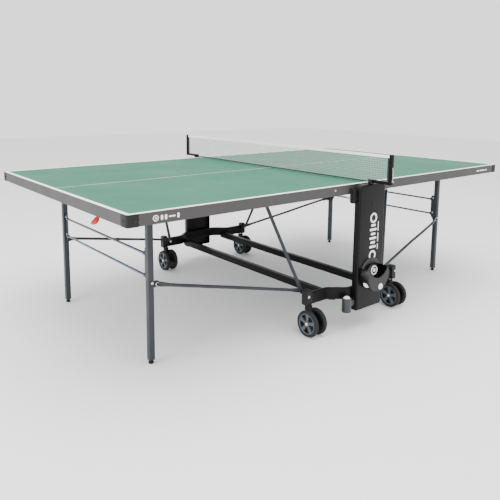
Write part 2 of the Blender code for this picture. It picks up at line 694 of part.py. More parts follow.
def caster(side, sign, flank, across, housing_finish, wheel_finish):
    """A swivel housing on a stem, and a twin wheel on an axle through it. All four trail to the near side."""
    stem = Vector((sign * CASTER_X, across * CASTER_Y, 0))
    axle = stem + Vector((0, -CASTER_TRAIL, WHEEL_RADIUS))
    top = BAR_BOTTOM - STEM_GAP
    name = f"{side}_{flank}_caster_housing"
    cheek = arc((axle.y, axle.z), HOUSING_RADIUS, 180, 360, 8)
    cheek += [(stem.y + STEM_COLLAR_RADIUS, top - 0.012), (stem.y + STEM_COLLAR_RADIUS, top),
              (stem.y - STEM_COLLAR_RADIUS, top), (stem.y - STEM_COLLAR_RADIUS, top - 0.012)]
    half = HOUSING_WIDTH / 2
    housing = prism(name, cheek, "x", stem.x - half, stem.x + half, housing_finish)
    pin = circle((stem.x, stem.y), STEM_RADIUS)
    weld(housing, prism(f"{name}_stem", pin, "z", top - 0.01, BAR_BOTTOM + 0.022))
    bore = circle((axle.y, axle.z), (AXLE_RADIUS + PIN_CLEARANCE) / math.cos(math.pi / PIN_SIDES))
    cut(housing, prism(f"{name}_bore", bore, "x", stem.x - 0.03, stem.x + 0.03))
    set_origin(smooth(housing), (stem.x, stem.y, BAR_BOTTOM))

    inner = WHEEL_SPACING / 2 - WHEEL_WIDTH / 2
    outer = WHEEL_SPACING / 2 + WHEEL_WIDTH / 2
    radius = WHEEL_RADIUS
    hub, rim = WHEEL_HUB_RADIUS, radius - TYRE_DEPTH
    edge, dish = WHEEL_EDGE, WHEEL_DISH
    profile = [(AXLE_RADIUS, inner + dish / 2), (rim, inner + dish / 2), (radius - edge, inner),
               (radius, inner + edge), (radius, outer - edge), (radius - edge, outer), (rim, outer - dish),
               (hub, outer - dish), (hub, outer), (0, outer)]
    mirrored = [(r, -along) for r, along in profile[::-1]]
    twin = turned(f"{side}_{flank}_twin_wheel", mirrored + profile, "x", (0, 0, 0), 20, wheel_finish)
    twin.location = axle
    return twin


# ---------------------------------------------------------------- net


def net_post(flank, across, finish):
    """The post, the arm that carries it past the table's edge, and the arm's seat on the tower."""
    half = POST_SIZE / 2
    inner = HALF_WIDTH + ARM_INNER_OVERLAP - 0.004
    top = TABLE_HEIGHT + NET_HEIGHT + POST_TOP_ABOVE_NET
    name = f"{flank}_net_post"
    post = box(name, (-half, across * (POST_Y - half), ARM_BOTTOM), (half, across * (POST_Y + half), top), finish)
    weld(post, box(f"{name}_arm", (-half, across * inner, ARM_BOTTOM), (half, across * POST_Y, ARM_TOP)))
    seat_low = (-half * 1.5, across * (TOWER_BACK + 0.006), TOWER_TOP + SEAT_GAP)
    seat_high = (half * 1.5, across * (TOWER_FRONT - 0.004), ARM_BOTTOM + 0.002)
    return soften(weld(post, box(f"{name}_seat", seat_low, seat_high)), 0.0008)


def net(finish):
    """The net as a thin sheet, cut back at both lower ends to clear the arms."""
    end = POST_Y - POST_SIZE / 2 - SEAT_GAP
    notch = HALF_WIDTH + ARM_INNER_OVERLAP - 0.010
    low = TABLE_HEIGHT + NET_LIFT
    step = ARM_TOP + 0.001
    top = TABLE_HEIGHT + NET_HEIGHT
    right = [(notch, low), (notch, step), (end, step), (end, top)]
    outline = right + [(-y, z) for y, z in right[::-1]]
    return prism("net", outline, "x", -NET_THICKNESS / 2, NET_THICKNESS / 2, finish)


# ---------------------------------------------------------------- assembly


def build_half(side, sign, finishes):
    board(side, sign, finishes["green"])
    end_apron(side, sign, finishes["apron"])
    inner_bar(side, sign, finishes["steel"])
    release_lever(side, sign, finishes["red"])
    leg_slot = LEG_TUBE + 2 * LUG_CLEARANCE
    leg_rows = [across * LEG_Y for across in FLANKS.values()]
    pivot_bar(f"{side}_leg_pivot_bar", sign, sign * LEG_X, LEG_PIVOT_HEIGHT, leg_rows, leg_slot, finishes["steel"])
    strut_slot = EYE_THICKNESS + 2 * LUG_CLEARANCE
    strut_rows = [strut_top(sign, across).y for across in FLANKS.values()]
    pivot_bar(f"{side}_strut_pivot_bar", sign, sign * STRUT_PIVOT_X, STRUT_PIVOT_HEIGHT, strut_rows,
              strut_slot, finishes["steel"])
    for level, height in ROD_HEIGHTS.items():
        cross_rod(side, sign, level, height, finishes["zinc"])
    for flank, across in FLANKS.items():
        side_apron(side, sign, flank, across, finishes["apron"])
        corner_cap(side, sign, flank, across, finishes["cap"])
        leg(side, sign, flank, across, finishes["anthracite"])
        levelling_foot(side, sign, flank, across, finishes["rubber"])
        tube_with_eyes(f"{side}_{flank}_strut", strut_foot(sign, across), strut_top(sign, across),
                       STRUT_RADIUS, finishes["anthracite"])
        tube_with_eyes(f"{side}_{flank}_leg_link", link_foot(sign, across), link_top(sign, across),
                       LINK_RADIUS, finishes["anthracite"], across * (LINK_RADIUS - EYE_THICKNESS / 2))
        caster(side, sign, flank, across, finishes["cap"], finishes["rubber"])
    cross_rail(side, sign, finishes["black"])


def main():
    for leftover in list(bpy.data.objects):
        bpy.data.objects.remove(leftover, do_unlink=True)
    finishes = {
        "green": material("green_board", (0.16, 0.40, 0.31), 0.35),
        "apron": material("grey_apron", (0.17, 0.17, 0.18), 0.45, 0.3),
        "cap": material("black_plastic", (0.02, 0.02, 0.02), 0.5),
        "steel": material("painted_cross_bar", (0.06, 0.06, 0.07), 0.5, 0.2),
        "anthracite": material("anthracite_tube", (0.09, 0.09, 0.10), 0.45, 0.3),
        "zinc": material("zinc_rod", (0.60, 0.62, 0.65), 0.25, 1.0),
        "rubber": material("black_rubber", (0.015, 0.015, 0.015), 0.8),
        "red": material("red_lever", (0.75, 0.03, 0.02), 0.4),
        "black": material("black_powder_coat", (0.03, 0.03, 0.035), 0.5, 0.1),
        "holder": material("black_holder", (0.02, 0.02, 0.022), 0.4),
        "tube": material("grey_ball_tube", (0.12, 0.13, 0.14), 0.45),
        "net": material("net_fabric", (0.35, 0.38, 0.38), 0.9),
    }
    for side, sign in SIDES.items():
        build_half(side, sign, finishes)
    for flank, across in FLANKS.items():
        foot_bar(flank, across, finishes["anthracite"])
        tower(flank, across, finishes["black"])
        net_post(flank, across, finishes["black"])
    bat_holder(finishes["holder"])
    ball_tube(finishes["tube"])
    net(finishes["net"])


main()
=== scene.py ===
"""Roll-away table tennis table: the visual model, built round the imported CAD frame.

World frame in metres: +X along the table's length, +Y across it, +Z up. The origin is on the
floor under the middle of the net. "near" is the -Y side, "left" is the -X side. Every piece keeps
its place in its own mesh, so a texture's object coordinates are metres in this frame.

A function for one corner of the table takes at, the corner's name such as left_near, then side,
sign (-1 left, 1 right) and across (-1 near, 1 far).
"""

import math

import bmesh
import bpy
from mathutils import Matrix, Vector


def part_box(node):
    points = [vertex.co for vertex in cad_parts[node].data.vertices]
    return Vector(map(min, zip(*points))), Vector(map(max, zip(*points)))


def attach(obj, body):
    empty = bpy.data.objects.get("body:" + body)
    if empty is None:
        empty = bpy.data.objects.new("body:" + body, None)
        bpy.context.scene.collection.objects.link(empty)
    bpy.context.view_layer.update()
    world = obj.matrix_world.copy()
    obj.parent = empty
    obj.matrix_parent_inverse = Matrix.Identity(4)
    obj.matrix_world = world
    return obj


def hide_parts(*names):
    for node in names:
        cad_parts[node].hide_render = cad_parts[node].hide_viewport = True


bl_info = {
    "name": "Roll-away table tennis table",
    "version": (1, 0, 0),
    "blender": (4, 5, 0),
    "location": "View3D > Sidebar > Table",
    "description": "Builds a folding table tennis table with its trolley, net and studio",
    "category": "Add Mesh",
}

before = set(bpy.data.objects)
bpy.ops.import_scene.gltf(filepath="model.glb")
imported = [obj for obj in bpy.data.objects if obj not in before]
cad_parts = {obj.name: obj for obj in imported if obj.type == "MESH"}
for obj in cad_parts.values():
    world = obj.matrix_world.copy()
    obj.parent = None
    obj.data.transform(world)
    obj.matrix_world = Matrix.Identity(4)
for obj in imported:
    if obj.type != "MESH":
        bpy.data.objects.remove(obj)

SIDES = {"left": -1, "right": 1}
FLANKS = {"near": -1, "far": 1}
UP, NEARWARD = (0, 0, 1), (0, -1, 0)
MM = 0.001

# Sizes that follow the CAD frame
BOARD_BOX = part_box("left_board")
HALF_LENGTH, HALF_WIDTH, TABLE_TOP = -BOARD_BOX[0][0], BOARD_BOX[1][1], BOARD_BOX[1][2]
APRON_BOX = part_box("left_near_side_apron")
APRON_BOTTOM, APRON_TOP = APRON_BOX[0][2], APRON_BOX[1][2]
APRON_INNER_X, APRON_OUTER_X = -APRON_BOX[1][0], -APRON_BOX[0][0]
APRON_FLANGE = APRON_BOX[1][1] - APRON_BOX[0][1]
LEG_X, LEG_Y, LEG_HALF = 1.125, 0.485, 0.0125
LEG_BOTTOM, LEG_TOP = 0.018, 0.7455
ROD_PLATE = 0.028
ROD_HEIGHTS = {"upper": 0.503, "lower": 0.402}
STRUT_FOOT, STRUT_TOP = (0.331, 0.64, 0.205), (0.513, 0.515, 0.735)
STAY_FOOT, STAY_TOP = (0.345, 0.65, 0.218), (1.1, 0.5033, 0.372)
BAR_BOTTOM, BAR_TOP = 0.157, 0.217
CASTER_X, CASTER_Y = 0.335, 0.695
WHEEL_RADIUS = 0.0685
TOWER_BACK, TOWER_FRONT, TOWER_HALF = 0.778, 0.812, 0.1025
TOWER_BOTTOM, TOWER_TOP = 0.096, 0.757
POST_Y, ARM_BOTTOM, ARM_TOP = 0.915, 0.7635, 0.7795
HOLDER_HEIGHT = 0.285
LEVER_PIVOT = (1.334, 0, 0.702)

# Sizes of the visible detail alone
BOARD_INSET = 0.0022
RIVET_PLACE = (0.234, 0.7385)
FILM_BACK, FILM_FRONT = 0.0001, 0.0005
BALL_RADIUS = 0.02


def corners(*sides):
    """The table's corners, or those of one side: name, side, sign along X, sign along Y."""
    for side in sides or SIDES:
        for flank, across in FLANKS.items():
            yield f"{side}_{flank}", side, SIDES[side], across


def mirrored(point, sign, across):
    """A point of the right far corner, moved to another corner."""
    return Vector((sign * point[0], across * point[1], point[2]))


def axle_point(at):
    """The middle of a caster's twin wheel."""
    low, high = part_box(f"{at}_twin_wheel")
    return (Vector(low) + Vector(high)) / 2


# ---------------------------------------------------------------- colours and materials


def linear(code):
    """An sRGB hex colour as linear red, green and blue."""
    parts = [int(code[i:i + 2], 16) / 255 for i in (1, 3, 5)]
    return tuple(p / 12.92 if p <= 0.04045 else ((p + 0.055) / 1.055) ** 2.4 for p in parts)


def per_metre(size_mm):
    """A texture scale that repeats once in that many millimetres."""
    return 1000 / size_mm


def add_node(tree, kind, settings=None, links=None):
    """Adds one node. A setting is a socket's name or number, or a property. A link's key is a socket."""
    node = tree.nodes.new("ShaderNode" + kind)
    for key, value in (settings or {}).items():
        if isinstance(key, int) or key in node.inputs:
            node.inputs[key].default_value = value
        else:
            setattr(node, key, value)
    for key, output in (links or {}).items():
        tree.links.new(output, node.inputs[key])
    return node


# Each finish: its colour, or the name of the user's colour; roughness; grain (size mm, depth mm);
# clouds (size mm, share of darkening, swing of roughness); the shader's other settings.
FINISHES = {
    # Melamine-faced board, roller painted: satin green with a fine stipple. Its lines come after
    "painted_melamine": ("board", 0.56, (1.4, 0.02), (260, 0.1, 0.05),
                         {"IOR": 1.55, "Specular IOR Level": 0.15}),
    # Steel profile, powder coated warm grey: a satin skin with the faint ripple of orange peel
    "apron_powder_coat": ("apron", 0.45, (2.2, 0.05), (120, 0.1, 0.06),
                          {"IOR": 1.5, "Specular IOR Level": 0.3}),
    # Steel tube, powder coated anthracite: darker, with the same fine ripple
    "anthracite_powder_coat": ("legs", 0.42, (1.8, 0.05), (90, 0.14, 0.07),
                               {"IOR": 1.5, "Specular IOR Level": 0.3}),
    # Pressed steel, powder coated near black: a satin skin that catches a soft edge of light
    "black_powder_coat": ("trolley", 0.38, (1.8, 0.06), (110, 0.15, 0.07),
                          {"IOR": 1.5, "Specular IOR Level": 0.15}),
    # Black polypropylene, spark-eroded mould: a dull, very fine leathery grain
    "moulded_polypropylene": ("#0f0f10", 0.5, (0.9, 0.06), (40, 0.18, 0.06),
                              {"IOR": 1.49, "Specular IOR Level": 0.3}),
    # Gloss black polypropylene, polished mould: dark with crisp highlights along its rims
    "holder_polypropylene": ("#0b0b0c", 0.28, (1.4, 0.02), (50, 0.12, 0.06),
                             {"IOR": 1.49, "Specular IOR Level": 0.35}),
    # Grey polypropylene wheel centre: semi-matt, with soft darker clouds here and there
    "grey_polypropylene": ("#474d53", 0.45, (0.9, 0.05), (14, 0.22, 0.08), {"IOR": 1.49}),
    # Dark grey polypropylene cup: semi-gloss, evenly moulded
    "smoke_polypropylene": ("#272a2d", 0.34, (1.2, 0.03), (30, 0.12, 0.05), {"IOR": 1.49}),
    # Signal red nylon: glossy where it is gripped, with a fine moulded grain
    "red_nylon": ("lever", 0.33, (1.0, 0.03), (20, 0.15, 0.07), {"IOR": 1.53}),
    # Black thermoplastic rubber: matt, with pale floor dust in its clouds
    "tyre_rubber": ("#161617", 0.78, (1.1, 0.1), (18, -0.9, 0.08),
                    {"IOR": 1.52, "Specular IOR Level": 0.3}),
    # Steel, bright zinc plated: silvery with a blotchy, slightly blue sheen
    "zinc_plate": ("#8a9098", 0.28, (1.0, 0.02), (9, 0.2, 0.1), {"Metallic": 1.0}),
    # Drawn steel rod, blue passivated zinc: darker and bluer than bright zinc, unevenly clouded
    "blue_zinc": ("#727b87", 0.26, (1.2, 0.02), (14, 0.25, 0.1), {"Metallic": 1.0}),
    # Steel screw, black oxide: dark, faintly brown, with a dull metal glint
    "black_oxide": ("#33312f", 0.45, (0.8, 0.02), (6, 0.25, 0.08), {"Metallic": 0.7}),
    # Knotted polyester cord: dull grey fibre, drawn with coarse strands so that they show
    "polyester_cord": ("#a3a7a7", 0.85, (1.5, 0.2), (12, 0.2, 0.05), {"Sheen Weight": 0.3}),
    # Black polyester webbing: matt, with a soft fibrous clouding
    "black_webbing": ("#1c1d1f", 0.88, (1.6, 0.15), (10, 0.2, 0.05), {"Sheen Weight": 0.2}),
    # White cotton tape: a soft white. Its ribs come after
    "woven_tape": ("#f1f1ee", 0.85, (2.0, 0.15), (60, 0.06, 0.05), {"Sheen Weight": 0.3}),
    # White celluloid: matt, faintly translucent
    "celluloid_ball": ("#f3f2ec", 0.42, (0.8, 0.02), (15, 0.05, 0.04),
                       {"Subsurface Weight": 0.15, "Subsurface Scale": 0.003}),
    # Cast vinyl film, cut and stuck on: flat white with a slight gloss
    "white_vinyl": ("#f2f2f0", 0.35, (3.0, 0.01), (30, 0.05, 0.05), {"IOR": 1.5}),
    # Painted studio floor: pale and even, with a trace of roller texture
    "studio_floor": ("#f4f4f4", 0.75, (6.0, 0.05), (900, 0.02, 0.04), {}),
}


# The record's material slot of each finish that has one
SLOTS = {
    "painted_melamine": "green_surface", "apron_powder_coat": "apron_paint",
    "anthracite_powder_coat": "anthracite_paint", "black_powder_coat": "black_paint",
    "moulded_polypropylene": "moulded_plastic", "holder_polypropylene": "moulded_plastic",
    "grey_polypropylene": "moulded_plastic", "smoke_polypropylene": "moulded_plastic",
    "red_nylon": "red_plastic", "tyre_rubber": "black_rubber", "zinc_plate": "zinc_plate",
    "blue_zinc": "zinc_plate", "polyester_cord": "net_mesh", "black_webbing": "net_mesh",
    "woven_tape": "net_mesh",
}


def surface(name):
    """A finish of the table, its grain and clouds placed by the object's own coordinates."""
    colour, roughness, grain, cloud, settings = FINISHES[name]
    chosen = getattr(bpy.context.scene.table_colours, colour, None)
    colour = tuple(chosen) if chosen else linear(colour)
    material = bpy.data.materials.new(name)
    material.use_nodes = True
    material.diffuse_color = (*colour, 1.0)
    tree = material.node_tree
    shader = tree.nodes["Principled BSDF"]
    for socket, value in settings.items():
        shader.inputs[socket].default_value = value
    place = add_node(tree, "TexCoord").outputs["Object"]
    grains = add_node(tree, "TexNoise", {"Scale": per_metre(grain[0]), "Detail": 3.0}, {"Vector": place})
    bump = add_node(tree, "Bump", {"Strength": 1.0, "Distance": grain[1] * MM},
                    {"Height": grains.outputs["Fac"]})
    clouds = add_node(tree, "TexNoise", {"Scale": per_metre(cloud[0]), "Detail": 5.0}, {"Vector": place})
    dark = [c * (1 - cloud[1]) for c in colour]
    tint = add_node(tree, "Mix", {"data_type": "RGBA", 6: (*colour, 1.0), 7: (*dark, 1.0)},
                    {0: clouds.outputs["Fac"]})
    sheen = add_node(tree, "MapRange", {"From Min": 0.3, "From Max": 0.7, "To Min": roughness - cloud[2],
                                        "To Max": roughness + cloud[2]}, {"Value": clouds.outputs["Fac"]})
    tree.links.new(tint.outputs[2], shader.inputs["Base Color"])
    tree.links.new(sheen.outputs["Result"], shader.inputs["Roughness"])
    tree.links.new(bump.outputs["Normal"], shader.inputs["Normal"])
    return material, tree, shader, place, tint.outputs[2]


def paint_lines(tree, shader, place, green):
    """Sharp white side, end and centre lines on the top, and the plain dark backing sheet below."""
    sizes = bpy.context.scene.table_sizes
    blur = 0.3 * MM
    split = add_node(tree, "SeparateXYZ", links={0: place})
    away_x, away_y = (add_node(tree, "Math", {"operation": "ABSOLUTE"}, {0: split.outputs[axis]}).outputs[0]
                      for axis in "XY")
    lined = None
    for value, edge, rising in ((away_x, HALF_LENGTH - sizes.line_width, 1),
                                (away_y, HALF_WIDTH - sizes.line_width, 1),
                                (away_y, sizes.centre_line / 2, -1)):
        ramp = {"From Min": edge - rising * blur, "From Max": edge + rising * blur}
        mask = add_node(tree, "MapRange", ramp, {"Value": value}).outputs["Result"]
        if lined:
            mask = add_node(tree, "Math", {"operation": "MAXIMUM"}, {0: lined, 1: mask}).outputs[0]
        lined = mask
    painted = add_node(tree, "Mix", {"data_type": "RGBA", 7: (*linear("#fbfbf8"), 1.0)}, {0: lined, 6: green})
    skin = {"From Min": TABLE_TOP - 2.5 * MM, "From Max": TABLE_TOP - 2.3 * MM}
    upper = add_node(tree, "MapRange", skin, {"Value": split.outputs["Z"]}).outputs["Result"]
    both = add_node(tree, "Mix", {"data_type": "RGBA", 6: (*linear("#2b3a35"), 1.0)},
                    {0: upper, 7: painted.outputs[2]})
    tree.links.new(both.outputs[2], shader.inputs["Base Color"])


def weave_ribs(tree, shader, place, white):
    """Ribs of a plain weave. The real 0.8 mm ones are too fine to show, so they are drawn at 2 mm."""
    ribs = add_node(tree, "TexWave", {"bands_direction": "Y", "Scale": per_metre(2.0) / 20,
                                      "Distortion": 0.4}, {"Vector": place})
    bump = add_node(tree, "Bump", {"Strength": 0.6, "Distance": 0.3 * MM}, {"Height": ribs.outputs["Fac"]})
    tree.links.new(bump.outputs["Normal"], shader.inputs["Normal"])


PATTERNS = {"painted_melamine": paint_lines, "woven_tape": weave_ribs}


def finish(name):
    """The material of that name, made once."""
    made = bpy.data.materials.get(name)
    if not made:
        made, *parts = surface(name)
        if name in PATTERNS:
            PATTERNS[name](*parts)
    return made


# ---------------------------------------------------------------- shapes


def on_axis(axis, along, first, second):
    """A point from its place along one axis and its two other coordinates, in X, Y, Z order."""
    point = [first, second]
    point.insert("xyz".index(axis), along)
    return Vector(point)


def arc(centre, radius, start, end, steps):
    """Points of an arc from one angle to another, in degrees."""
    angles = [math.radians(start + (end - start) * i / steps) for i in range(steps + 1)]
    return [(centre[0] + radius * math.cos(a), centre[1] + radius * math.sin(a)) for a in angles]


def bend(start, corner, end, shares):
    """Points of a smooth bend from start to end that is pulled towards a corner."""
    return [start * (1 - t) ** 2 + corner * 2 * t * (1 - t) + end * t ** 2 for t in shares]


def rounded(outline, radius, steps=4):
    """A closed outline with each corner replaced by a bend."""
    made = []
    count = len(outline)
    for i, corner in enumerate(outline):
        corner = Vector(corner)
        back = Vector(outline[i - 1]) - corner
        ahead = Vector(outline[(i + 1) % count]) - corner
        reach = radius[i] if isinstance(radius, (list, tuple)) else radius
        reach = min(reach, back.length * 0.49, ahead.length * 0.49)
        start, end = corner + back.normalized() * reach, corner + ahead.normalized() * reach
        made += [tuple(p) for p in bend(start, corner, end, [s / steps for s in range(steps + 1)])]
    return made


def rectangle(centre, size, radius=0.0, steps=4):
    """A rectangle's outline, with rounded corners if radius is set."""
    a, b = size[0] / 2, size[1] / 2
    outline = [(centre[0] + x * a, centre[1] + y * b) for x, y in ((1, 1), (-1, 1), (-1, -1), (1, -1))]
    return rounded(outline, radius, steps) if radius else outline


def add_loft(bm, rings, closed=False):
    """Joins rings of equal length with faces, and caps the two ends unless the loft is closed."""
    made = [[bm.verts.new(p) for p in ring] for ring in rings]
    pairs = list(zip(made, made[1:])) + ([(made[-1], made[0])] if closed else [])
    for low, high in pairs:
        for i in range(len(low)):
            j = (i + 1) % len(low)
            bm.faces.new((low[i], low[j], high[j], high[i]))
    if not closed:
        bm.faces.new(made[0][::-1])
        bm.faces.new(made[-1])


def add_prism(bm, outline, axis, start, end):
    """A closed outline, in the two other axes, extruded along an axis."""
    add_loft(bm, [[on_axis(axis, place, a, b) for a, b in outline] for place in (start, end)])


def square_to(direction):
    """Two unit vectors square to a direction and to each other."""
    along = Vector(direction).normalized()
    first = Vector((0, 0, 1)) if abs(along.z) < 0.9 else Vector((1, 0, 0))
    first = (first - along * first.dot(along)).normalized()
    return first, along.cross(first)


def add_turned(bm, profile, start, direction, steps=32, closed=False):
    """A profile of (radius, along) points, turned round a line from start in a direction."""
    start, along = Vector(start), Vector(direction).normalized()
    first, second = square_to(along)
    turns = [math.tau * i / steps for i in range(steps)]
    add_loft(bm, [[start + along * reach + first * radius * math.cos(t) + second * radius * math.sin(t)
                   for t in turns] for radius, reach in profile], closed)


def add_bolt(bm, point, direction, radius=0.0065, height=0.004):
    """A pan-head bolt on a washer, standing on a face."""
    washer = 0.0012
    profile = [(radius * 1.35, 0), (radius * 1.35, washer), (radius, washer), (radius, height * 0.7),
               (radius * 0.8, height * 0.95), (radius * 0.35, height), (radius * 0.3, height * 0.7)]
    add_turned(bm, profile, point, direction, 20)


def add_path_tube(bm, points, radius, steps=10):
    """A round wire along points."""
    points = [Vector(p) for p in points]
    rings = []
    for i, point in enumerate(points):
        ahead = points[min(i + 1, len(points) - 1)] - points[max(i - 1, 0)]
        first, second = square_to(ahead)
        turns = [math.tau * k / steps for k in range(steps)]
        rings.append([point + (first * math.cos(t) + second * math.sin(t)) * radius for t in turns])
    add_loft(bm, rings)


def add_film_ring(bm, centre, outer, inner, steps):
    """A ring of film stuck on a face that looks to the near side."""
    loop = [(outer, FILM_BACK), (outer, FILM_FRONT), (inner, FILM_FRONT), (inner, FILM_BACK)]
    add_turned(bm, loop, centre, NEARWARD, steps, closed=True)


def add_film_bar(bm, centre, size, radius):
    """A bar of film, rounded at its corners, stuck on a face that looks to the near side."""
    x, y, z = centre
    add_prism(bm, rectangle((x, z), size, radius), "y", y - FILM_BACK, y - FILM_FRONT)


def round_edges(piece, width, angle):
    """Rounds the edges that are sharper than an angle in degrees."""
    edge = piece.modifiers.new("rounding", "BEVEL")
    edge.width = width
    edge.segments = 2
    edge.limit_method = "ANGLE"
    edge.angle_limit = math.radians(angle)
    edge.harden_normals = True


def add_piece(name, bm, look, body, stands_for=(), rounding=0.0, angle=32, slot=None):
    """Makes a named piece from a bmesh, gives it its finish, and sets it on its body.

    rounding is the width of its rounded edges, and angle is how sharp an edge has to be. The slot of its
    finish, or another that slot names, is looked up but not given to the piece.
    """
    bmesh.ops.recalc_face_normals(bm, faces=bm.faces)
    mesh = bpy.data.meshes.new(name)
    bm.to_mesh(mesh)
    bm.free()
    piece = bpy.data.objects.new(name, mesh)
    bpy.context.scene.collection.objects.link(piece)
    mesh.materials.append(finish(look))
    mesh.shade_smooth()
    if rounding:
        round_edges(piece, rounding, angle)
    else:
        mesh.set_sharp_from_angle(angle=math.radians(angle))
    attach(piece, body)
    slot = slot or SLOTS.get(look)
    if stands_for:
        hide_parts(*stands_for)
    return piece


def keep_node(node, look, rounding=0.0):
    """Gives a CAD node that stays its finish, and rounds its edges."""
    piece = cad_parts[node]
    for place in piece.material_slots:
        place.material = finish(look)
    if rounding:
        round_edges(piece, rounding, 30)


# ---------------------------------------------------------------- playing halves


def board(side, sign):
    """A board let in flush inside its frame, with rounded outer corners."""
    low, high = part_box(f"{side}_board")
    inner = low[0] if sign > 0 else high[0]
    outer, wide = sign * (HALF_LENGTH - BOARD_INSET), HALF_WIDTH - BOARD_INSET
    outline = rounded([(inner, -wide), (outer, -wide), (outer, wide), (inner, wide)],
                      [0.002, 0.01, 0.01, 0.002], 5)
    bm = bmesh.new()
    add_prism(bm, outline, "z", low[2], TABLE_TOP)
    add_piece(f"{side}_playing_board", bm, "painted_melamine", f"{side}_half", [f"{side}_board"], 0.0008)


def profile_section(outside, inward):
    """The rolled edge profile: a C channel whose outer wall rises to hide the board's edge."""
    wall, lip = 0.002, TABLE_TOP - 0.0006
    steps = [(0, APRON_BOTTOM), (0, lip), (wall, lip), (wall, APRON_TOP), (APRON_FLANGE, APRON_TOP),
             (APRON_FLANGE, APRON_TOP - wall), (wall, APRON_TOP - wall), (wall, APRON_BOTTOM + wall),
             (APRON_FLANGE, APRON_BOTTOM + wall), (APRON_FLANGE, APRON_BOTTOM)]
    return [(outside + inward * depth, up) for depth, up in steps]


def side_apron(at, side, sign, across):
    """A side's edge profile, with the rivet of the release rod's guide."""
    bm = bmesh.new()
    add_prism(bm, profile_section(across * HALF_WIDTH, -across), "x",
              sign * APRON_INNER_X, sign * APRON_OUTER_X)
    add_piece(f"{at}_edge_profile", bm, "apron_powder_coat", f"{side}_half", [f"{at}_side_apron"], 0.0009)
    rivet = bmesh.new()
    add_turned(rivet, [(0.0052, -0.001), (0.0052, 0.0004), (0.0042, 0.0012), (0.0018, 0.0018)],
               (sign * RIVET_PLACE[0], across * HALF_WIDTH, RIVET_PLACE[1]), (0, across, 0), 16)
    add_piece(f"{at}_profile_rivets", rivet, "zinc_plate", f"{side}_half")


def end_apron(side, sign):
    """An end's edge profile, with the two ears that carry the release lever."""
    low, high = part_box(f"{side}_end_apron")
    bm = bmesh.new()
    add_prism(bm, profile_section(sign * HALF_LENGTH, -sign), "y", low[1], high[1])
    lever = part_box(f"{side}_release_lever")
    ear = rounded([(sign * 1.3475, 0.7125), (sign * 1.3215, 0.7125), (sign * 1.3265, 0.6955),
                   (sign * 1.3405, 0.6955)], 0.006, 4)
    for y in (lever[0][1] + 0.0022, lever[1][1] - 0.0022):
        add_prism(bm, ear, "y", y - 0.0014, y + 0.0014)
    add_piece(f"{side}_end_profile", bm, "apron_powder_coat", f"{side}_half", [f"{side}_end_apron"],
              0.0009)


def corner_cap(at, side, sign, across):
    """A moulded corner over the ends of two profiles, with a screw in each face."""
    proud, reach, screw = 0.0006, 0.05, 0.033
    x, y = HALF_LENGTH + proud, HALF_WIDTH + proud
    bm = bmesh.new()
    for wall, inside, low, high in ((APRON_FLANGE, 0.006, APRON_BOTTOM - proud, APRON_TOP),
                                    (0.0026, 0.011, APRON_TOP - 0.001, TABLE_TOP - 0.0004)):
        angle = [(x - reach, y), (x - reach, y - wall), (x - wall, y - wall), (x - wall, y - reach),
                 (x, y - reach), (x, y)]
        outline = rounded([(sign * a, across * b) for a, b in angle],
                          [0.0005, 0.0005, inside, 0.0005, 0.0005, 0.014], 6)
        add_prism(bm, outline, "z", low, high)
    add_piece(f"{at}_moulded_corner", bm, "moulded_polypropylene", f"{side}_half", [f"{at}_corner_cap"],
              0.0007, 50)
    screws = bmesh.new()
    middle = (APRON_BOTTOM + APRON_TOP) / 2
    add_bolt(screws, (sign * (x - screw), across * y, middle), (0, across, 0), 0.004, 0.0022)
    add_bolt(screws, (sign * x, across * (y - screw), middle), (sign, 0, 0), 0.004, 0.0022)
    add_piece(f"{at}_corner_screws", screws, "black_oxide", f"{side}_half", slot="moulded_plastic")


def apron_decal(side, sign):
    """Generic white markings near an end of the near profile: a ring and bars, with no lettering."""
    bm = bmesh.new()
    x, y, z = sign * 1.2489, -HALF_WIDTH, 0.7335
    if side == "left":
        bars = ((0.022, 0.01, 0.019), (0.04, 0.01, 0.019), (0.058, 0.03, 0.006), (0.096, 0.01, 0.019))
        add_film_ring(bm, (x, y, z), 0.0125, 0.0085, 32)
        add_turned(bm, [(0.004, FILM_BACK), (0.004, FILM_FRONT)], (x, y, z), NEARWARD, 24)
    else:
        bars = ((0.0, 0.022, 0.008), (0.028, 0.06, 0.008), (0.094, 0.034, 0.008))
    for start, length, tall in bars:
        add_film_bar(bm, (x - sign * (start + length / 2), y, z), (length, tall), 0.0025)
    add_piece(f"{side}_profile_marking", bm, "white_vinyl", f"{side}_half")


# ---------------------------------------------------------------- legs


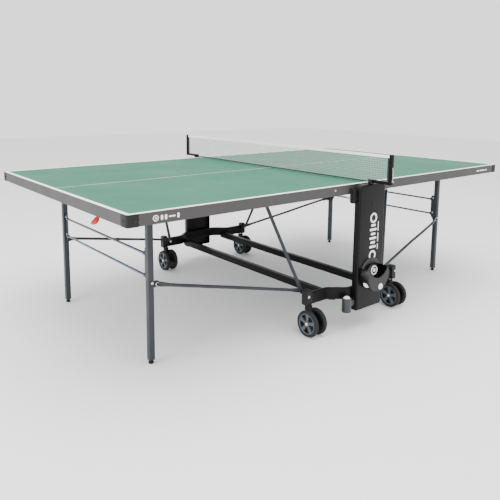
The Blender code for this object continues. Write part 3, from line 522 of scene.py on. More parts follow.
def leg(at, side, sign, across):
    """A square leg with the plate for its rods, the lug for its stay, its bolts and its end plug."""
    x, y = sign * LEG_X, across * LEG_Y
    body, lug_z = f"{side}_legs", STAY_TOP[2]
    bm = bmesh.new()
    for wide, low, high in ((0.0276, LEG_BOTTOM + 0.002, 0.69), (0.0255, 0.688, LEG_TOP)):
        add_prism(bm, rectangle((x, y), (wide, wide), 0.003), "z", low, high)
    inner = y - across * (LEG_HALF + ROD_PLATE)
    face = y - across * (LEG_HALF - 0.001)
    plate = rounded([(face, 0.345), (face, 0.53), (inner, 0.53), (inner, 0.392)],
                    [0.001, 0.001, 0.008, 0.012])
    add_prism(bm, plate, "x", x - 0.0015, x + 0.0015)
    outer = across * (LEG_Y + LEG_HALF)
    root, tip, low, high = x + sign * 0.0075, sign * 1.086, lug_z - 0.015, lug_z + 0.015
    lug = rounded([(root, low), (root, high), (tip, high), (tip, low)], [0.002, 0.002, 0.013, 0.013])
    add_prism(bm, lug, "y", outer - across * 0.001, outer + across * 0.003)
    add_piece(f"{at}_leg_tube", bm, "anthracite_powder_coat", body, [f"{at}_leg"], 0.0004, 50)
    bolts = bmesh.new()
    for height in ROD_HEIGHTS.values():
        for way in (-1, 1):
            add_bolt(bolts, (x + way * 0.0015, y - across * (LEG_HALF + 0.01), height + 0.008),
                     (way, 0, 0), 0.0045, 0.003)
    add_bolt(bolts, (x - sign * 0.004, outer + across * 0.0028, lug_z + 0.006), (0, across, 0), 0.0045, 0.003)
    add_piece(f"{at}_leg_bolts", bolts, "zinc_plate", body)
    plug = bmesh.new()
    add_prism(plug, rectangle((x, y), (0.0278, 0.0278), 0.0035), "z", LEG_BOTTOM, LEG_BOTTOM + 0.0028)
    add_piece(f"{at}_leg_end_plug", plug, "moulded_polypropylene", body, (), 0.0006)


def cross_rod(side, sign, level, height):
    """A plated rod between two legs, with a nut against each plate."""
    reach = LEG_Y - LEG_HALF - ROD_PLATE + 0.004
    x = sign * LEG_X
    bm = bmesh.new()
    add_turned(bm, [(0.005, 0), (0.006, 0.0015), (0.006, 2 * reach - 0.0015), (0.005, 2 * reach)],
               (x, -reach, height), (0, 1, 0), 24)
    for across in FLANKS.values():
        add_turned(bm, [(0.0085, 0), (0.0095, 0.0012), (0.0095, 0.0068), (0.0085, 0.008)],
                   (x, across * (reach - 0.004), height), (0, -across, 0), 6)
    add_piece(f"{side}_{level}_brace_rod", bm, "blue_zinc", f"{side}_legs", [f"{side}_{level}_cross_rod"])


def levelling_foot(at):
    """A round foot with a gripping rim, tapered down to the floor."""
    node = f"{at}_foot"
    low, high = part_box(node)
    centre = Vector(((low[0] + high[0]) / 2, (low[1] + high[1]) / 2, 0))
    bm = bmesh.new()
    add_turned(bm, [(0.0095, 0), (0.0108, 0.001), (0.012, 0.004), (0.012, 0.0085), (0.0112, 0.0102),
                    (0.008, 0.0112), (0.0074, 0.012), (0.0074, 0.019)], centre, UP, 36)
    ribs = 18
    for i in range(ribs):
        turn = math.tau * i / ribs
        way = Vector((math.cos(turn), math.sin(turn), 0))
        add_turned(bm, [(0.0008, 0), (0.0009, 0.004)], centre + way * 0.0118 + Vector((0, 0, 0.0042)), UP, 6)
    add_piece(f"{node}_glide", bm, "moulded_polypropylene", f"{at}_levelling_foot", [node],
              slot="black_rubber")


# ---------------------------------------------------------------- struts and links


def flattened_tube(name, start, end, radius, shift, body, node):
    """A round tube whose ends are pressed flat into rounded eyes.

    The tube's far half is moved sideways by shift, which fades out before its eye.
    """
    run = end - start
    heading = Vector((run.x, 0, run.z)).normalized()
    length = math.hypot(run.x, run.z)
    normal = Vector((-heading.z, 0, heading.x))
    eye, thick, flat_end, round_from = 0.0115, 0.0017, 0.02, 0.062
    press = round_from - flat_end
    stations = [-eye, -eye * 0.92, -eye * 0.7, -eye * 0.35, 0, flat_end]
    stations += [flat_end + press * t for t in (0.25, 0.5, 0.75, 1.0)]
    stations += [length * t for t in (0.3, 0.5, 0.7)] + [length - s for s in stations[::-1]]
    rings = []
    for s in stations:
        nearest = min(s, length - s)
        t = min(1, max(0, (nearest - flat_end) / press))
        t = t * t * (3 - 2 * t)
        if nearest < 0:
            half_wide = max(math.sqrt(max(0.0, eye ** 2 - nearest ** 2)), eye * 0.15)
        else:
            half_wide = eye * (1 - t) + radius * t
        half_thick = thick * (1 - t) + radius * t
        squareness = 0.45 * (1 - t) + t
        middle = start + heading * s + Vector((0, run.y * min(1, max(0, s / length)), 0))
        if s > length * 0.5:
            fade = min(1, max(0, (length - s - flat_end) / press))
            middle.y += shift * fade * min(1, (s / length - 0.5) * 4)
        ring = []
        for k in range(16):
            c, d = math.cos(math.tau * k / 16), math.sin(math.tau * k / 16)
            wide = math.copysign(abs(c) ** squareness, c) * half_wide
            deep = math.copysign(abs(d) ** squareness, d) * half_thick
            ring.append(middle + normal * wide + Vector((0, deep, 0)))
        rings.append(ring)
    bm = bmesh.new()
    add_loft(bm, rings)
    add_piece(name, bm, "anthracite_powder_coat", body, [node], angle=40)


def pivot_bolt(name, point, across, body):
    """The bolt's head at a strut's or stay's eye."""
    bm = bmesh.new()
    add_bolt(bm, point + Vector((0, across * 0.0016, 0)), (0, across, 0), 0.006, 0.0045)
    add_piece(name, bm, "zinc_plate", body)


def struts_and_links(at, side, sign, across):
    """The strut that carries the half, the stay that folds the leg, and their bolts."""
    foot, top = mirrored(STRUT_FOOT, sign, across), mirrored(STRUT_TOP, sign, across)
    flattened_tube(f"{at}_folding_strut", foot, top, 0.009, 0.0, f"{side}_struts", f"{at}_strut")
    stay_foot, stay_top = mirrored(STAY_FOOT, sign, across), mirrored(STAY_TOP, sign, across)
    links = f"{side}_leg_links"
    flattened_tube(f"{at}_stay", stay_foot, stay_top, 0.008, across * 0.0065, links, f"{at}_leg_link")
    pivot_bolt(f"{at}_strut_bolt", foot - Vector((0, across * 0.0032, 0)), -across, f"{side}_struts")
    pivot_bolt(f"{at}_stay_bolt", stay_top, across, links)
    nut = bmesh.new()
    add_turned(nut, [(0.0052, 0.003), (0.0058, 0.004), (0.0058, 0.012), (0.005, 0.013)], stay_top,
               (0, across, 0), 6)
    add_piece(f"{at}_stay_nut", nut, "black_oxide", links, slot="zinc_plate")


# ---------------------------------------------------------------- trolley


def foot_bar(flank, across):
    """A bent rectangular tube, rounded along its edges, with a moulded block over each caster."""
    name = f"{flank}_foot_bar"
    turns = [Vector(p) for p in ((-0.338, CASTER_Y), (-0.205, CASTER_Y), (-0.12, 0.7652), (0.12, 0.7652),
                                 (0.205, CASTER_Y), (0.338, CASTER_Y))]
    line = [turns[0]]
    for before, here, after in zip(turns, turns[1:], turns[2:]):
        start = here + (before - here).normalized() * 0.022
        end = here + (after - here).normalized() * 0.022
        line += bend(start, here, end, (0, 0.25, 0.5, 0.75, 1))
    line.append(turns[-1])
    section = rectangle((0, (BAR_BOTTOM + BAR_TOP) / 2), (0.0248, BAR_TOP - BAR_BOTTOM), 0.006, 4)
    rings = []
    for i, point in enumerate(line):
        ahead = (line[min(i + 1, len(line) - 1)] - line[max(i - 1, 0)]).normalized()
        rings.append([(point.x - ahead.y * a, across * (point.y + ahead.x * a), z) for a, z in section])
    bm = bmesh.new()
    add_loft(bm, rings)
    add_piece(f"{name}_tube", bm, "black_powder_coat", "trolley", [name], angle=40)
    blocks, bolts = bmesh.new(), bmesh.new()
    levels = ((BAR_BOTTOM - 0.001, 0.9), (BAR_BOTTOM + 0.002, 1.0), (0.224, 1.0), (0.2325, 0.95),
              (0.235, 0.86))
    for sign in SIDES.values():
        x, y = sign * 0.3475, across * CASTER_Y
        outline = rectangle((x, y), (0.036, 0.042), 0.005, 4)
        add_loft(blocks, [[(x + (a - x) * k, y + (b - y) * k, z) for a, b in outline] for z, k in levels])
        inside = across * (CASTER_Y - 0.021)
        for hub, _, z in (STRUT_FOOT, STAY_FOOT):
            add_turned(blocks, [(0.0075, 0), (0.0075, 0.018), (0.0065, 0.02)],
                       (sign * hub, inside + across * 0.002, z), (0, -across, 0), 20)
        add_bolt(bolts, (sign * 0.3545, across * (CASTER_Y + 0.0208), 0.203), (0, across, 0), 0.0052, 0.0035)
    add_piece(f"{flank}_end_blocks", blocks, "moulded_polypropylene", "trolley", (), 0.0008, 40,
              slot="black_paint")
    add_piece(f"{flank}_end_block_bolts", bolts, "zinc_plate", "trolley")


def tower_face(inset):
    """The tower's outline seen from the front, drawn in by inset."""
    top, half, bottom = TOWER_TOP - inset, TOWER_HALF - inset, TOWER_BOTTOM + inset
    head, foot = max(0.004, 0.028 - inset), max(0.002, 0.01 - inset)
    return (arc((foot - half, bottom + foot), foot, 180, 270, 4)
            + arc((half - foot, bottom + foot), foot, 270, 360, 4)
            + arc((half - head, top - head), head, 0, 90, 7)
            + arc((head - half, top - head), head, 90, 180, 7))


def tower(flank, across):
    """A pressed steel column with a rounded front edge, open at the back, and its latch block."""
    wall, radius = 0.002, 0.009
    shell = [(wall, TOWER_BACK), (0.0, TOWER_BACK)]
    for skin, turns in ((0, (0, 15, 30, 45, 60, 75, 90)), (wall, (0, 30, 60, 90))):
        small = radius - skin
        curve = [(skin + small * (1 - math.cos(a)), TOWER_FRONT - radius + small * math.sin(a))
                 for a in map(math.radians, turns)]
        shell = shell + curve if not skin else curve[::-1] + shell
    rings = [[(x, across * y, z) for x, z in tower_face(inset)] for inset, y in shell]
    bm = bmesh.new()
    add_loft(bm, rings)
    add_piece(f"{flank}_tower_shell", bm, "black_powder_coat", "trolley", [f"{flank}_tower"], angle=40)

    latch = bmesh.new()
    add_prism(latch, rectangle((0, 0.7045), (0.26, 0.085), 0.018, 6), "y",
              across * 0.7665, across * (TOWER_BACK + 0.001))
    for sign in SIDES.values():
        cheek = rounded([(sign * 0.08, 0.668), (sign * 0.126, 0.668), (sign * 0.126, 0.738),
                         (sign * 0.08, 0.738)], 0.006)
        add_prism(latch, cheek, "y", across * (TOWER_BACK - 0.002), across * (TOWER_BACK + 0.012))
    add_piece(f"{flank}_latch_block", latch, "moulded_polypropylene", "trolley", (), 0.0015, 40,
              slot="black_paint")

    bolts = bmesh.new()
    add_bolt(bolts, (0.005, across * TOWER_FRONT, 0.652), (0, across, 0), 0.0045, 0.0025)
    for sign in SIDES.values():
        add_bolt(bolts, (sign * 0.103, across * (TOWER_BACK + 0.012), 0.69), (0, across, 0), 0.0055, 0.0035)
    add_piece(f"{flank}_tower_bolts", bolts, "black_oxide", "trolley", slot="black_paint")


def tower_marking():
    """Generic white motif down the near tower's face: rings and bars, with no lettering."""
    bm = bmesh.new()
    x, y = 0.012, -TOWER_FRONT
    for z in (0.378, 0.578):
        add_film_ring(bm, (x, y, z), 0.027, 0.017, 40)
    for z, wide in ((0.424, 0.05), (0.447, 0.036), (0.47, 0.054), (0.493, 0.036), (0.516, 0.054),
                    (0.539, 0.036)):
        add_film_bar(bm, (x, y, z), (wide, 0.0125), 0.005)
    for z, tall in ((0.42, 0.03), (0.47, 0.048), (0.53, 0.05)):
        add_film_bar(bm, (x + 0.04, y, z), (0.006, tall), 0.0025)
    add_piece("near_tower_marking", bm, "white_vinyl", "trolley")


def release_rod(at, side, sign, across):
    """The thin rod that pulls a half's latch, from the tower's head into the edge profile."""
    points = ((0.128, 0.769, 0.69), (0.14, 0.7665, 0.6965), (0.15, 0.7555, 0.6995),
              (0.2, 0.7535, 0.7095), (0.251, 0.7535, 0.7195), (0.3, 0.7535, 0.7235),
              (0.42, 0.7535, 0.7245))
    bm = bmesh.new()
    add_path_tube(bm, [mirrored(p, sign, across) for p in points], 0.0027)
    add_piece(f"{at}_release_rod", bm, "zinc_plate", f"{side}_half")


def caster(at, side, sign, across):
    """A swivel fork between the twin wheels, under a collar and stem."""
    stem = Vector((sign * CASTER_X, across * CASTER_Y, 0))
    axle = axle_point(at)
    cheek = arc((axle.y, axle.z), 0.025, 190, 350, 12)
    cheek += [(stem.y + 0.0145, 0.128), (stem.y + 0.0145, 0.1495), (stem.y - 0.0145, 0.1495),
              (stem.y - 0.0165, 0.132)]
    bm = bmesh.new()
    add_prism(bm, cheek, "x", stem.x - 0.0128, stem.x + 0.0128)
    add_turned(bm, [(0.017, 0), (0.0185, 0.0015), (0.0185, 0.0055), (0.0165, 0.007)],
               (stem.x, stem.y, 0.144), UP, 32)
    add_piece(f"{at}_caster_housing_fork", bm, "moulded_polypropylene", f"{at}_caster",
              [f"{at}_caster_housing"], 0.0016, 40)
    pin = bmesh.new()
    add_turned(pin, [(0.0078, 0), (0.0078, 0.014)], (stem.x, stem.y, 0.15), UP, 20)
    add_piece(f"{at}_caster_stem", pin, "zinc_plate", f"{at}_caster")


def wheel(at):
    """Twin tyres on five-spoke centres, with a cap on each outer face."""
    centre = axle_point(at)
    radius, rim, inner, outer = WHEEL_RADIUS, 0.053, 0.018, 0.042
    spokes, first_turn = 5, 0.35
    tyres, hubs, webs, caps = bmesh.new(), bmesh.new(), bmesh.new(), bmesh.new()
    for way in (-1, 1):
        out = Vector((way, 0, 0))
        tread = [(rim, inner + 0.002), (radius - 0.0075, inner), (radius - 0.0025, inner + 0.0022),
                 (radius - 0.0004, inner + 0.0065), (radius, (inner + outer) / 2),
                 (radius - 0.0004, outer - 0.0065), (radius - 0.0025, outer - 0.0022),
                 (radius - 0.0075, outer), (rim + 0.002, outer - 0.001), (rim, outer - 0.003)]
        add_turned(tyres, tread, centre, out, 56, closed=True)
        ring = [(rim + 0.0004, outer - 0.005), (rim + 0.0004, outer - 0.0022), (rim - 0.002, outer - 0.0014),
                (rim - 0.0052, outer - 0.003), (rim - 0.0052, outer - 0.009), (rim + 0.0004, outer - 0.009)]
        add_turned(hubs, ring, centre, out, 56, closed=True)
        add_turned(webs, [(rim, inner + 0.002), (rim, outer - 0.0145)], centre, out, 40)
        add_turned(hubs, [(0.016, outer - 0.015), (0.016, outer - 0.0034), (0.0145, outer - 0.0018),
                          (0.0085, outer - 0.0014)], centre, out, 40)
        for spoke in range(spokes):
            turn = math.tau * spoke / spokes + first_turn
            sections = []
            for r, half_turn, top in ((0.014, 0.42, outer - 0.0042), (0.03, 0.265, outer - 0.0036),
                                      (rim - 0.004, 0.225, outer - 0.004)):
                low, high, floor = turn - half_turn, turn + half_turn, outer - 0.0146
                sections.append([centre + out * b + Vector((0, math.cos(a) * r, math.sin(a) * r))
                                 for a, b in ((low, top), (high, top), (high, floor), (low, floor))])
            add_loft(hubs, sections)
        add_turned(caps, [(0.0066, outer - 0.002), (0.0066, outer - 0.0004), (0.0052, outer + 0.0006),
                          (0.002, outer + 0.0009)], centre, out, 24)
    add_turned(webs, [(0.004, -0.02), (0.004, 0.02)], centre, (1, 0, 0), 16)
    body = f"{at}_wheel"
    add_piece(f"{at}_tyres", tyres, "tyre_rubber", body, [f"{at}_twin_wheel"], angle=40)
    add_piece(f"{at}_wheel_centres", hubs, "grey_polypropylene", body, (), 0.0005, 40)
    add_piece(f"{at}_wheel_webs", webs, "moulded_polypropylene", body)
    add_piece(f"{at}_wheel_caps", caps, "white_vinyl", body, slot="moulded_plastic")


# ---------------------------------------------------------------- net


def net_post(flank, across):
    """A square post on an arm that reaches in over the tower, with its clamp, cap and spring clip."""
    name = f"{flank}_net_post"
    low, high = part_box(name)
    arm_inner, arm_middle = abs(high[1] if across < 0 else low[1]), (ARM_BOTTOM + ARM_TOP) / 2
    bm = bmesh.new()
    add_prism(bm, rectangle((0, across * POST_Y), (0.019, 0.017), 0.003), "z", ARM_BOTTOM, high[2] - 0.004)
    add_prism(bm, rectangle((0, arm_middle), (0.016, 0.016), 0.003), "y", across * arm_inner,
              across * (POST_Y + 0.004))
    add_piece(f"{name}_tube", bm, "black_powder_coat", "trolley", [name], 0.0004, 50)
    cap = bmesh.new()
    outline = rectangle((0, 0), (0.02, 0.0176), 0.0035)
    add_loft(cap, [[(a * k, across * POST_Y + b * k, high[2] - drop) for a, b in outline]
                   for drop, k in ((0.0045, 1.0), (0.0015, 1.0), (0, 0.82))])
    add_prism(cap, rectangle((0, across * 0.796), (0.026, 0.024), 0.003), "z",
              TOWER_TOP + 0.0004, ARM_BOTTOM + 0.002)
    add_turned(cap, [(0.0085, 0), (0.0095, 0.0015), (0.0095, 0.01), (0.008, 0.012)],
               (-0.0085, across * 0.8, arm_middle), (-1, 0, 0), 12)
    add_piece(f"{name}_cap_and_clamp", cap, "moulded_polypropylene", "trolley", (), 0.0005, 40)
    clip = bmesh.new()
    line = ((0.9235, 0.85), (0.9268, 0.842), (0.9268, 0.8), (0.9255, 0.785), (0.9235, 0.779))
    add_path_tube(clip, [(0, across * y, z) for y, z in line], 0.0015)
    add_piece(f"{name}_spring_clip", clip, "zinc_plate", "trolley")


def net():
    """A knotted net stretched between the posts, in its top tape, side bands and dark bottom band, partly
    painted shadow.
    """
    sizes = bpy.context.scene.table_sizes
    low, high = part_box("net")
    end, notch, step = high[1] - 0.001, HALF_WIDTH + 0.009, ARM_TOP + 0.0022
    bottom, top = low[2] + 0.0015, high[2] - 0.004
    half = sizes.net_cord / 2
    bm = bmesh.new()
    columns = round(2 * end / sizes.net_mesh)
    for i in range(columns + 1):
        y = -end + 2 * end * i / columns
        foot = bottom if abs(y) < notch else step
        add_prism(bm, [(-half, y), (0, y - half), (half, y), (0, y + half)], "z", foot, top)
    rows = round((top - bottom) / sizes.net_mesh)
    for i in range(rows + 1):
        z = bottom + (top - bottom) * i / rows
        reach = end if z > step else notch
        add_prism(bm, [(-half, z), (0, z - half), (half, z), (0, z + half)], "y", -reach, reach)
    cords = add_piece("knotted_net", bm, "polyester_cord", "trolley", ["net"], angle=60)

    def fold(half_thick, under, over, radius):
        """The section of a tape folded round the net."""
        return rounded([(-half_thick, under), (-half_thick, over), (half_thick, over), (half_thick, under)],
                       radius, 3)

    tape = bmesh.new()
    add_prism(tape, fold(0.0016, top - 0.0105, high[2], 0.0012), "y", -end, end)
    band = add_piece("net_top_tape", tape, "woven_tape", "trolley")
    edges = bmesh.new()
    for across in FLANKS.values():
        add_prism(edges, fold(0.0022, step, top - 0.011, 0.0015), "y", across * (end - 0.012), across * end)
    # The dark bottom band is partly the net's real bottom tape and partly painted shadow: it also stands in
    # for the shade in the gap between the two halves.
    add_prism(edges, fold(0.0015, bottom - 0.0012, bottom + 0.0055, 0.001), "y", -notch, notch)
    hem = add_piece("net_bottom_and_side_bands", edges, "black_webbing", "trolley")


# ---------------------------------------------------------------- bat holder, balls and levers


def bat_holder():
    """A moulded round pocket on the near tower: back plate, rim, and a crescent front that holds balls."""
    low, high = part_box("bat_holder")
    back, front = high[1], low[1] + 0.01
    depth = front - back
    radius, wall, scoop = 0.084, 0.004, ((0, 0.345), 0.075)
    start, end, steps = 153, 387, 44
    look = "holder_polypropylene"
    bm = bmesh.new()
    plate = [(radius - 0.001, 0.0002), (radius, 0.0012), (radius, wall - 0.001), (radius - 0.001, wall)]
    add_turned(bm, plate, (0, back, HOLDER_HEIGHT), NEARWARD, 56)
    section = ((radius, -0.002), (radius, depth + 0.002), (radius - 0.001, depth + 0.0005),
               (radius - 0.003, depth + 0.0005), (radius - wall, depth + 0.002), (radius - wall, -0.002))
    turns = [math.radians(start + (end - start) * i / steps) for i in range(steps + 1)]
    add_loft(bm, [[(r * math.cos(t), back + y, HOLDER_HEIGHT + r * math.sin(t)) for r, y in section]
                  for t in turns])
    add_piece("bat_pocket", bm, look, "trolley", ["bat_holder"], 0.0006, 45)
    crescent = bmesh.new()
    outline = arc((0, HOLDER_HEIGHT), radius - 0.002, start + 2, end - 2, 36) + arc(*scoop, -14, -166, 30)
    add_prism(crescent, outline, "y", front + 0.0004, front + 0.0042)
    add_piece("bat_pocket_front", crescent, look, "trolley", (), 0.0012, 45)
    beads = bmesh.new()
    add_path_tube(beads, [(x, front + 0.0018, z) for x, z in arc(*scoop, -14, -166, 36)], 0.0034, 12)
    for point, way in (((0.0167, front + 0.001, 0.2231), NEARWARD),
                       ((-0.0655, -0.842, 0.24), (-0.83, 0, -0.56))):
        add_turned(beads, [(0.0172, -0.001), (0.0172, 0.0012), (0.0192, 0.0012), (0.02, 0.0004),
                           (0.02, -0.001)], point, way, 36, closed=True)
    add_piece("bat_pocket_beads", beads, look, "trolley")
    boss = bmesh.new()
    add_turned(boss, [(0.05, wall - 0.001), (0.05, 0.0165), (0.0485, 0.018), (0.044, 0.018),
                      (0.043, 0.017)], (0, back, HOLDER_HEIGHT), NEARWARD, 56)
    add_piece("bat_pocket_boss", boss, look, "trolley")
    badge = bmesh.new()
    place = (0.012, back - 0.0168, 0.302)
    add_turned(badge, [(0.0265, 0), (0.0265, 0.0008), (0.0185, 0.0008), (0.0185, 0)], place, NEARWARD, 40,
               closed=True)
    add_turned(badge, [(0.0105, 0), (0.0105, 0.0008)], place, NEARWARD, 32)
    add_piece("bat_pocket_marking", badge, "white_vinyl", "trolley")


def ball(name, centre):
    """A forty-millimetre ball with the faint ridge where its two halves are joined."""
    steps, seam = 24, 0.00012
    profile = []
    for i in range(1, steps):
        turn = math.pi * i / steps
        ridge = seam if i == steps // 2 else 0.0
        profile.append(((BALL_RADIUS + ridge) * math.sin(turn), -BALL_RADIUS * math.cos(turn)))
    bm = bmesh.new()
    add_turned(bm, profile, centre, (0.3, 0.5, 0.8), 40)
    add_piece(name, bm, "celluloid_ball", "trolley")


def ball_tube():
    """A cup beside the tower that holds spare balls, with a rolled lip and a strap to the tower."""
    low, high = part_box("ball_tube")
    radius, height, middle = 0.0245, high[2] - low[2], (low[2] + high[2]) / 2
    centre = Vector((low[0] + radius, (low[1] + high[1]) / 2, low[2]))
    bm = bmesh.new()
    add_turned(bm, [(0.02, 0.0), (0.0235, 0.0012), (radius, 0.004), (radius, height - 0.003),
                    (0.024, height - 0.0008), (0.0232, height), (0.0222, height - 0.0008),
                    (0.0215, height - 0.003), (0.0215, 0.006), (0.019, 0.003)], centre, UP, 48)
    cup_side = centre.x + 0.0232
    strap = rectangle(((cup_side - TOWER_HALF) / 2, middle), (abs(-TOWER_HALF - cup_side), 0.03), 0.004)
    add_prism(bm, strap, "y", centre.y - 0.004, centre.y)
    add_piece("ball_cup", bm, "smoke_polypropylene", "trolley", ["ball_tube"], 0.0004, 50)
    ball("ball_in_cup_lower", centre + Vector((0, 0, 0.0245)))
    ball("ball_in_cup_upper", centre + Vector((0.0008, 0, 0.0645)))


def release_lever(side, sign):
    """A red paddle under the table's end, thicker at its barrel and curled at its tip."""
    low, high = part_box(f"{side}_release_lever")
    pivot = mirrored(LEVER_PIVOT, sign, 1)
    y0, y1 = low[1] + 0.0042, high[1] - 0.0042
    length, curl, hang = 0.0475, 0.0045, math.radians(46)
    along = Vector((sign * math.cos(hang), 0, -math.sin(hang)))
    normal = Vector((sign * math.sin(hang), 0, math.cos(hang)))
    middle_y = (y0 + y1) / 2
    # Share of the length, half the width, half the thickness
    stations = ((0.0, 0.011, 0.0034), (0.2, 0.0115, 0.0032), (0.34, 0.0195, 0.003), (0.55, 0.0235, 0.0028),
                (0.75, 0.0235, 0.0025), (0.88, 0.0205, 0.0022), (0.96, 0.015, 0.0018), (1.0, 0.0085, 0.0012))
    bm = bmesh.new()
    rings = []
    for t, half_wide, half_thick in stations:
        middle = (pivot + along * length * t - normal * curl * math.sin(math.pi * t)
                  + Vector((0, middle_y - 0.004 * t, 0)))
        section = rectangle((0, 0), (2 * half_wide, 2 * half_thick), half_thick * 0.9, 3)
        rings.append([middle + normal * b + Vector((0, a, 0)) for a, b in section])
    add_loft(bm, rings)
    add_turned(bm, [(0.0052, 0), (0.006, 0.0008), (0.006, y1 - y0 - 0.0008), (0.0052, y1 - y0)],
               (pivot.x, y0, pivot.z), (0, 1, 0), 24)
    body = f"{side}_lever"
    add_piece(f"{side}_red_release_paddle", bm, "red_nylon", body, [f"{side}_release_lever"], angle=50)
    pin, reach = bmesh.new(), high[1] - low[1]
    add_turned(pin, [(0.0026, 0), (0.003, 0.0008), (0.003, reach - 0.0008), (0.0026, reach)],
               (pivot.x, low[1], pivot.z), (0, 1, 0), 16)
    add_piece(f"{side}_lever_pin", pin, "zinc_plate", body)


# ---------------------------------------------------------------- stage


def studio():
    """A pale floor, a pale surround, soft lights, and the camera."""
    scene = bpy.context.scene
    bm = bmesh.new()
    reach, cells, level = 14.0, 8, -0.0002
    places = [-reach + 2 * reach * i / cells for i in range(cells + 1)]
    verts = [[bm.verts.new((x, y, level)) for y in places] for x in places]
    for i in range(cells):
        for j in range(cells):
            bm.faces.new((verts[i][j], verts[i + 1][j], verts[i + 1][j + 1], verts[i][j + 1]))
    mesh = bpy.data.meshes.new("studio_floor")
    bm.to_mesh(mesh)
    bm.free()
    mesh.materials.append(finish("studio_floor"))
    floor = bpy.data.objects.new("studio_floor", mesh)
    scene.collection.objects.link(floor)

    world = bpy.data.worlds.new("studio_surround")
    scene.world = world
    world.use_nodes = True
    surround = world.node_tree.nodes["Background"]
    surround.inputs["Color"].default_value = (1.0, 1.0, 1.0, 1.0)
    surround.inputs["Strength"].default_value = scene.table_stage.surround

    # Name, place, the point it faces, width and height, power
    lights = (
        ("overhead_softbox", (0.0, -0.6, 4.2), (0.0, 0.0, 0.5), (5.0, 4.0), 210.0),
        ("left_softbox", (-5.2, -0.5, 2.2), (0.0, 0.0, 0.6), (3.0, 2.4), 180.0),
        ("near_softbox", (-1.6, -5.0, 2.6), (0.0, 0.0, 0.4), (3.2, 2.2), 40.0),
    )
    for name, place, target, size, power in lights:
        lamp = bpy.data.lights.new(name, "AREA")
        lamp.shape = "RECTANGLE"
        lamp.size, lamp.size_y = size
        lamp.energy = power * scene.table_stage.brightness
        holder = bpy.data.objects.new(name, lamp)
        holder.location = place
        holder.rotation_euler = (Vector(target) - Vector(place)).to_track_quat("-Z", "Y").to_euler()
        scene.collection.objects.link(holder)

    camera = bpy.data.cameras.new("studio_camera")
    camera.lens = 39.85
    camera.sensor_width = 36.0
    camera.shift_x, camera.shift_y = 0.0136, -0.1399
    heading, dip, roll = -0.6811, 0.146, 0.0073
    viewer = bpy.data.objects.new("studio_camera", camera)
    viewer.matrix_world = (Matrix.Translation((-2.2892, -2.5723, 1.1857)) @ Matrix.Rotation(heading, 4, "Z")
                           @ Matrix.Rotation(math.pi / 2 - dip, 4, "X") @ Matrix.Rotation(roll, 4, "Z"))
    scene.collection.objects.link(viewer)
    scene.camera = viewer


# ---------------------------------------------------------------- settings


def colour_setting(name, description, code):
    return bpy.props.FloatVectorProperty(name=name, description=description, subtype="COLOR", min=0, max=1,
                                         default=linear(code))


def length_setting(name, description, least, most, default):
    return bpy.props.FloatProperty(name=name, description=description, unit="LENGTH", min=least, max=most,
                                   default=default)


def brightness_setting(name, description, default):
    return bpy.props.FloatProperty(name=name, description=description, subtype="FACTOR", min=0, max=4,
                                   default=default)


class TableColours(bpy.types.PropertyGroup):
    """Colours of the painted and moulded parts."""
    board: colour_setting("Board", "Colour of the playing surface", "#276b53")
    apron: colour_setting("Apron", "Powder coat of the edge profiles", "#413f3f")
    legs: colour_setting("Legs", "Powder coat of the legs, struts and stays", "#303236")
    trolley: colour_setting("Trolley", "Powder coat of the towers and foot bars", "#09090a")
    lever: colour_setting("Levers", "Colour of the release levers", "#c81410")


class TableSizes(bpy.types.PropertyGroup):
    """Sizes of painted lines and of the net."""
    line_width: length_setting("Edge line", "Width of the painted side and end lines", 0.005, 0.05, 0.02)
    centre_line: length_setting("Centre line", "Width of the painted centre line", 0.001, 0.01, 0.003)
    net_mesh: length_setting("Net mesh", "Distance from one net cord to the next", 0.006, 0.03, 0.01)
    net_cord: length_setting("Net cord", "Thickness of the net's cords", 0.0008, 0.003, 0.0019)


class StageSettings(bpy.types.PropertyGroup):
    """Brightness of the studio."""
    brightness: brightness_setting("Lamps", "Share of the lamps' full power", 1.0)
    surround: brightness_setting("Surround", "Brightness of the white surround", 1.7)


# ---------------------------------------------------------------- operators


class TABLE_OT_boards(bpy.types.Operator):
    """Build the two playing boards with their painted lines"""
    bl_idname = "table.boards"
    bl_label = "Playing boards"

    def execute(self, context):
        for side, sign in SIDES.items():
            board(side, sign)
        return {"FINISHED"}


class TABLE_OT_aprons(bpy.types.Operator):
    """Build the edge profiles, moulded corners and their markings"""
    bl_idname = "table.aprons"
    bl_label = "Edge profiles and corners"

    def execute(self, context):
        for side, sign in SIDES.items():
            end_apron(side, sign)
            apron_decal(side, sign)
            for corner in corners(side):
                side_apron(*corner)
                corner_cap(*corner)
        return {"FINISHED"}


class TABLE_OT_cross_bars(bpy.types.Operator):
    """Finish the tubes under the boards that carry the legs and struts"""
    bl_idname = "table.cross_bars"
    bl_label = "Cross bars"

    def execute(self, context):
        for side in SIDES:
            keep_node(f"{side}_inner_bar", "anthracite_powder_coat", 0.0012)
            keep_node(f"{side}_leg_pivot_bar", "anthracite_powder_coat")
            keep_node(f"{side}_strut_pivot_bar", "anthracite_powder_coat")
        return {"FINISHED"}


class TABLE_OT_legs(bpy.types.Operator):
    """Build the four legs with their plates, brace rods and levelling feet"""
    bl_idname = "table.legs"
    bl_label = "Legs, brace rods and feet"

    def execute(self, context):
        for side, sign in SIDES.items():
            for level, height in ROD_HEIGHTS.items():
                cross_rod(side, sign, level, height)
            for corner in corners(side):
                leg(*corner)
                levelling_foot(corner[0])
        return {"FINISHED"}


class TABLE_OT_struts(bpy.types.Operator):
    """Build the folding struts and the stays that fold the legs"""
    bl_idname = "table.struts"
    bl_label = "Struts and stays"

    def execute(self, context):
        for corner in corners():
            struts_and_links(*corner)
        return {"FINISHED"}


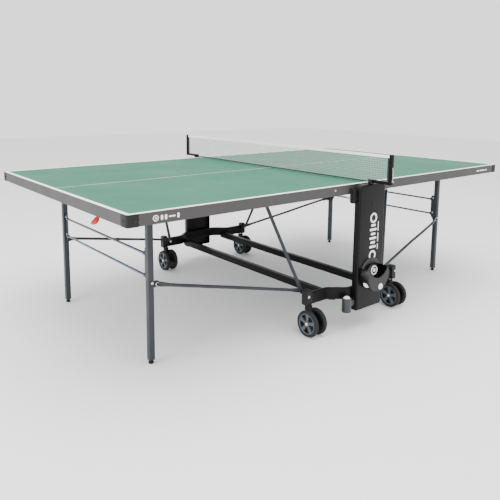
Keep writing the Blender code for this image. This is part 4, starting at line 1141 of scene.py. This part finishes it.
class TABLE_OT_trolley(bpy.types.Operator):
    """Build the foot bars, rails, towers and release rods"""
    bl_idname = "table.trolley"
    bl_label = "Trolley frame and towers"

    def execute(self, context):
        for flank, across in FLANKS.items():
            foot_bar(flank, across)
            tower(flank, across)
        tower_marking()
        for side in SIDES:
            keep_node(f"{side}_cross_rail", "black_powder_coat", 0.002)
        for corner in corners():
            release_rod(*corner)
        return {"FINISHED"}


class TABLE_OT_casters(bpy.types.Operator):
    """Build the four swivelling casters with their twin wheels"""
    bl_idname = "table.casters"
    bl_label = "Casters"

    def execute(self, context):
        for corner in corners():
            caster(*corner)
            wheel(corner[0])
        return {"FINISHED"}


class TABLE_OT_net(bpy.types.Operator):
    """Build the net, its tapes and its posts"""
    bl_idname = "table.net"
    bl_label = "Net and posts"

    def execute(self, context):
        for flank, across in FLANKS.items():
            net_post(flank, across)
        net()
        return {"FINISHED"}


class TABLE_OT_holders(bpy.types.Operator):
    """Build the bat holder, the ball cup and the balls"""
    bl_idname = "table.holders"
    bl_label = "Bat holder and balls"

    def execute(self, context):
        bat_holder()
        ball("ball_in_holder_left", (-0.059, -0.842, 0.245))
        ball("ball_in_holder_right", (0.0167, -0.859, 0.2231))
        ball_tube()
        return {"FINISHED"}


class TABLE_OT_levers(bpy.types.Operator):
    """Build the red release levers"""
    bl_idname = "table.levers"
    bl_label = "Release levers"

    def execute(self, context):
        for side, sign in SIDES.items():
            release_lever(side, sign)
        return {"FINISHED"}


class TABLE_OT_stage(bpy.types.Operator):
    """Set up the floor, surround, lights and camera"""
    bl_idname = "table.stage"
    bl_label = "Studio"

    def execute(self, context):
        studio()
        return {"FINISHED"}


OPERATORS = (TABLE_OT_boards, TABLE_OT_aprons, TABLE_OT_cross_bars, TABLE_OT_legs, TABLE_OT_struts,
             TABLE_OT_trolley, TABLE_OT_casters, TABLE_OT_net, TABLE_OT_holders, TABLE_OT_levers,
             TABLE_OT_stage)


class TABLE_PT_builder(bpy.types.Panel):
    """The table's settings and the buttons that build it"""
    bl_idname = "TABLE_PT_builder"
    bl_label = "Table tennis table"
    bl_space_type = "VIEW_3D"
    bl_region_type = "UI"
    bl_category = "Table"

    def draw(self, context):
        column = self.layout.column()
        for group in GROUPS:
            settings = getattr(context.scene, group)
            for name in settings.__annotations__:
                column.prop(settings, name)
        for operator in OPERATORS:
            column.operator(operator.bl_idname)


GROUPS = {"table_sizes": TableSizes, "table_colours": TableColours, "table_stage": StageSettings}


def register():
    for group in (*GROUPS.values(), *OPERATORS, TABLE_PT_builder):
        bpy.utils.register_class(group)
    for name, group in GROUPS.items():
        setattr(bpy.types.Scene, name, bpy.props.PointerProperty(type=group))


def unregister():
    for name in GROUPS:
        delattr(bpy.types.Scene, name)
    for group in (TABLE_PT_builder, *OPERATORS[::-1], *GROUPS.values()):
        bpy.utils.unregister_class(group)


def main():
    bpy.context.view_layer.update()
    register()
    for operator in OPERATORS:
        name = operator.bl_idname.split(".")[1]
        getattr(bpy.ops.table, name)()


if __name__ == "__main__":
    main()
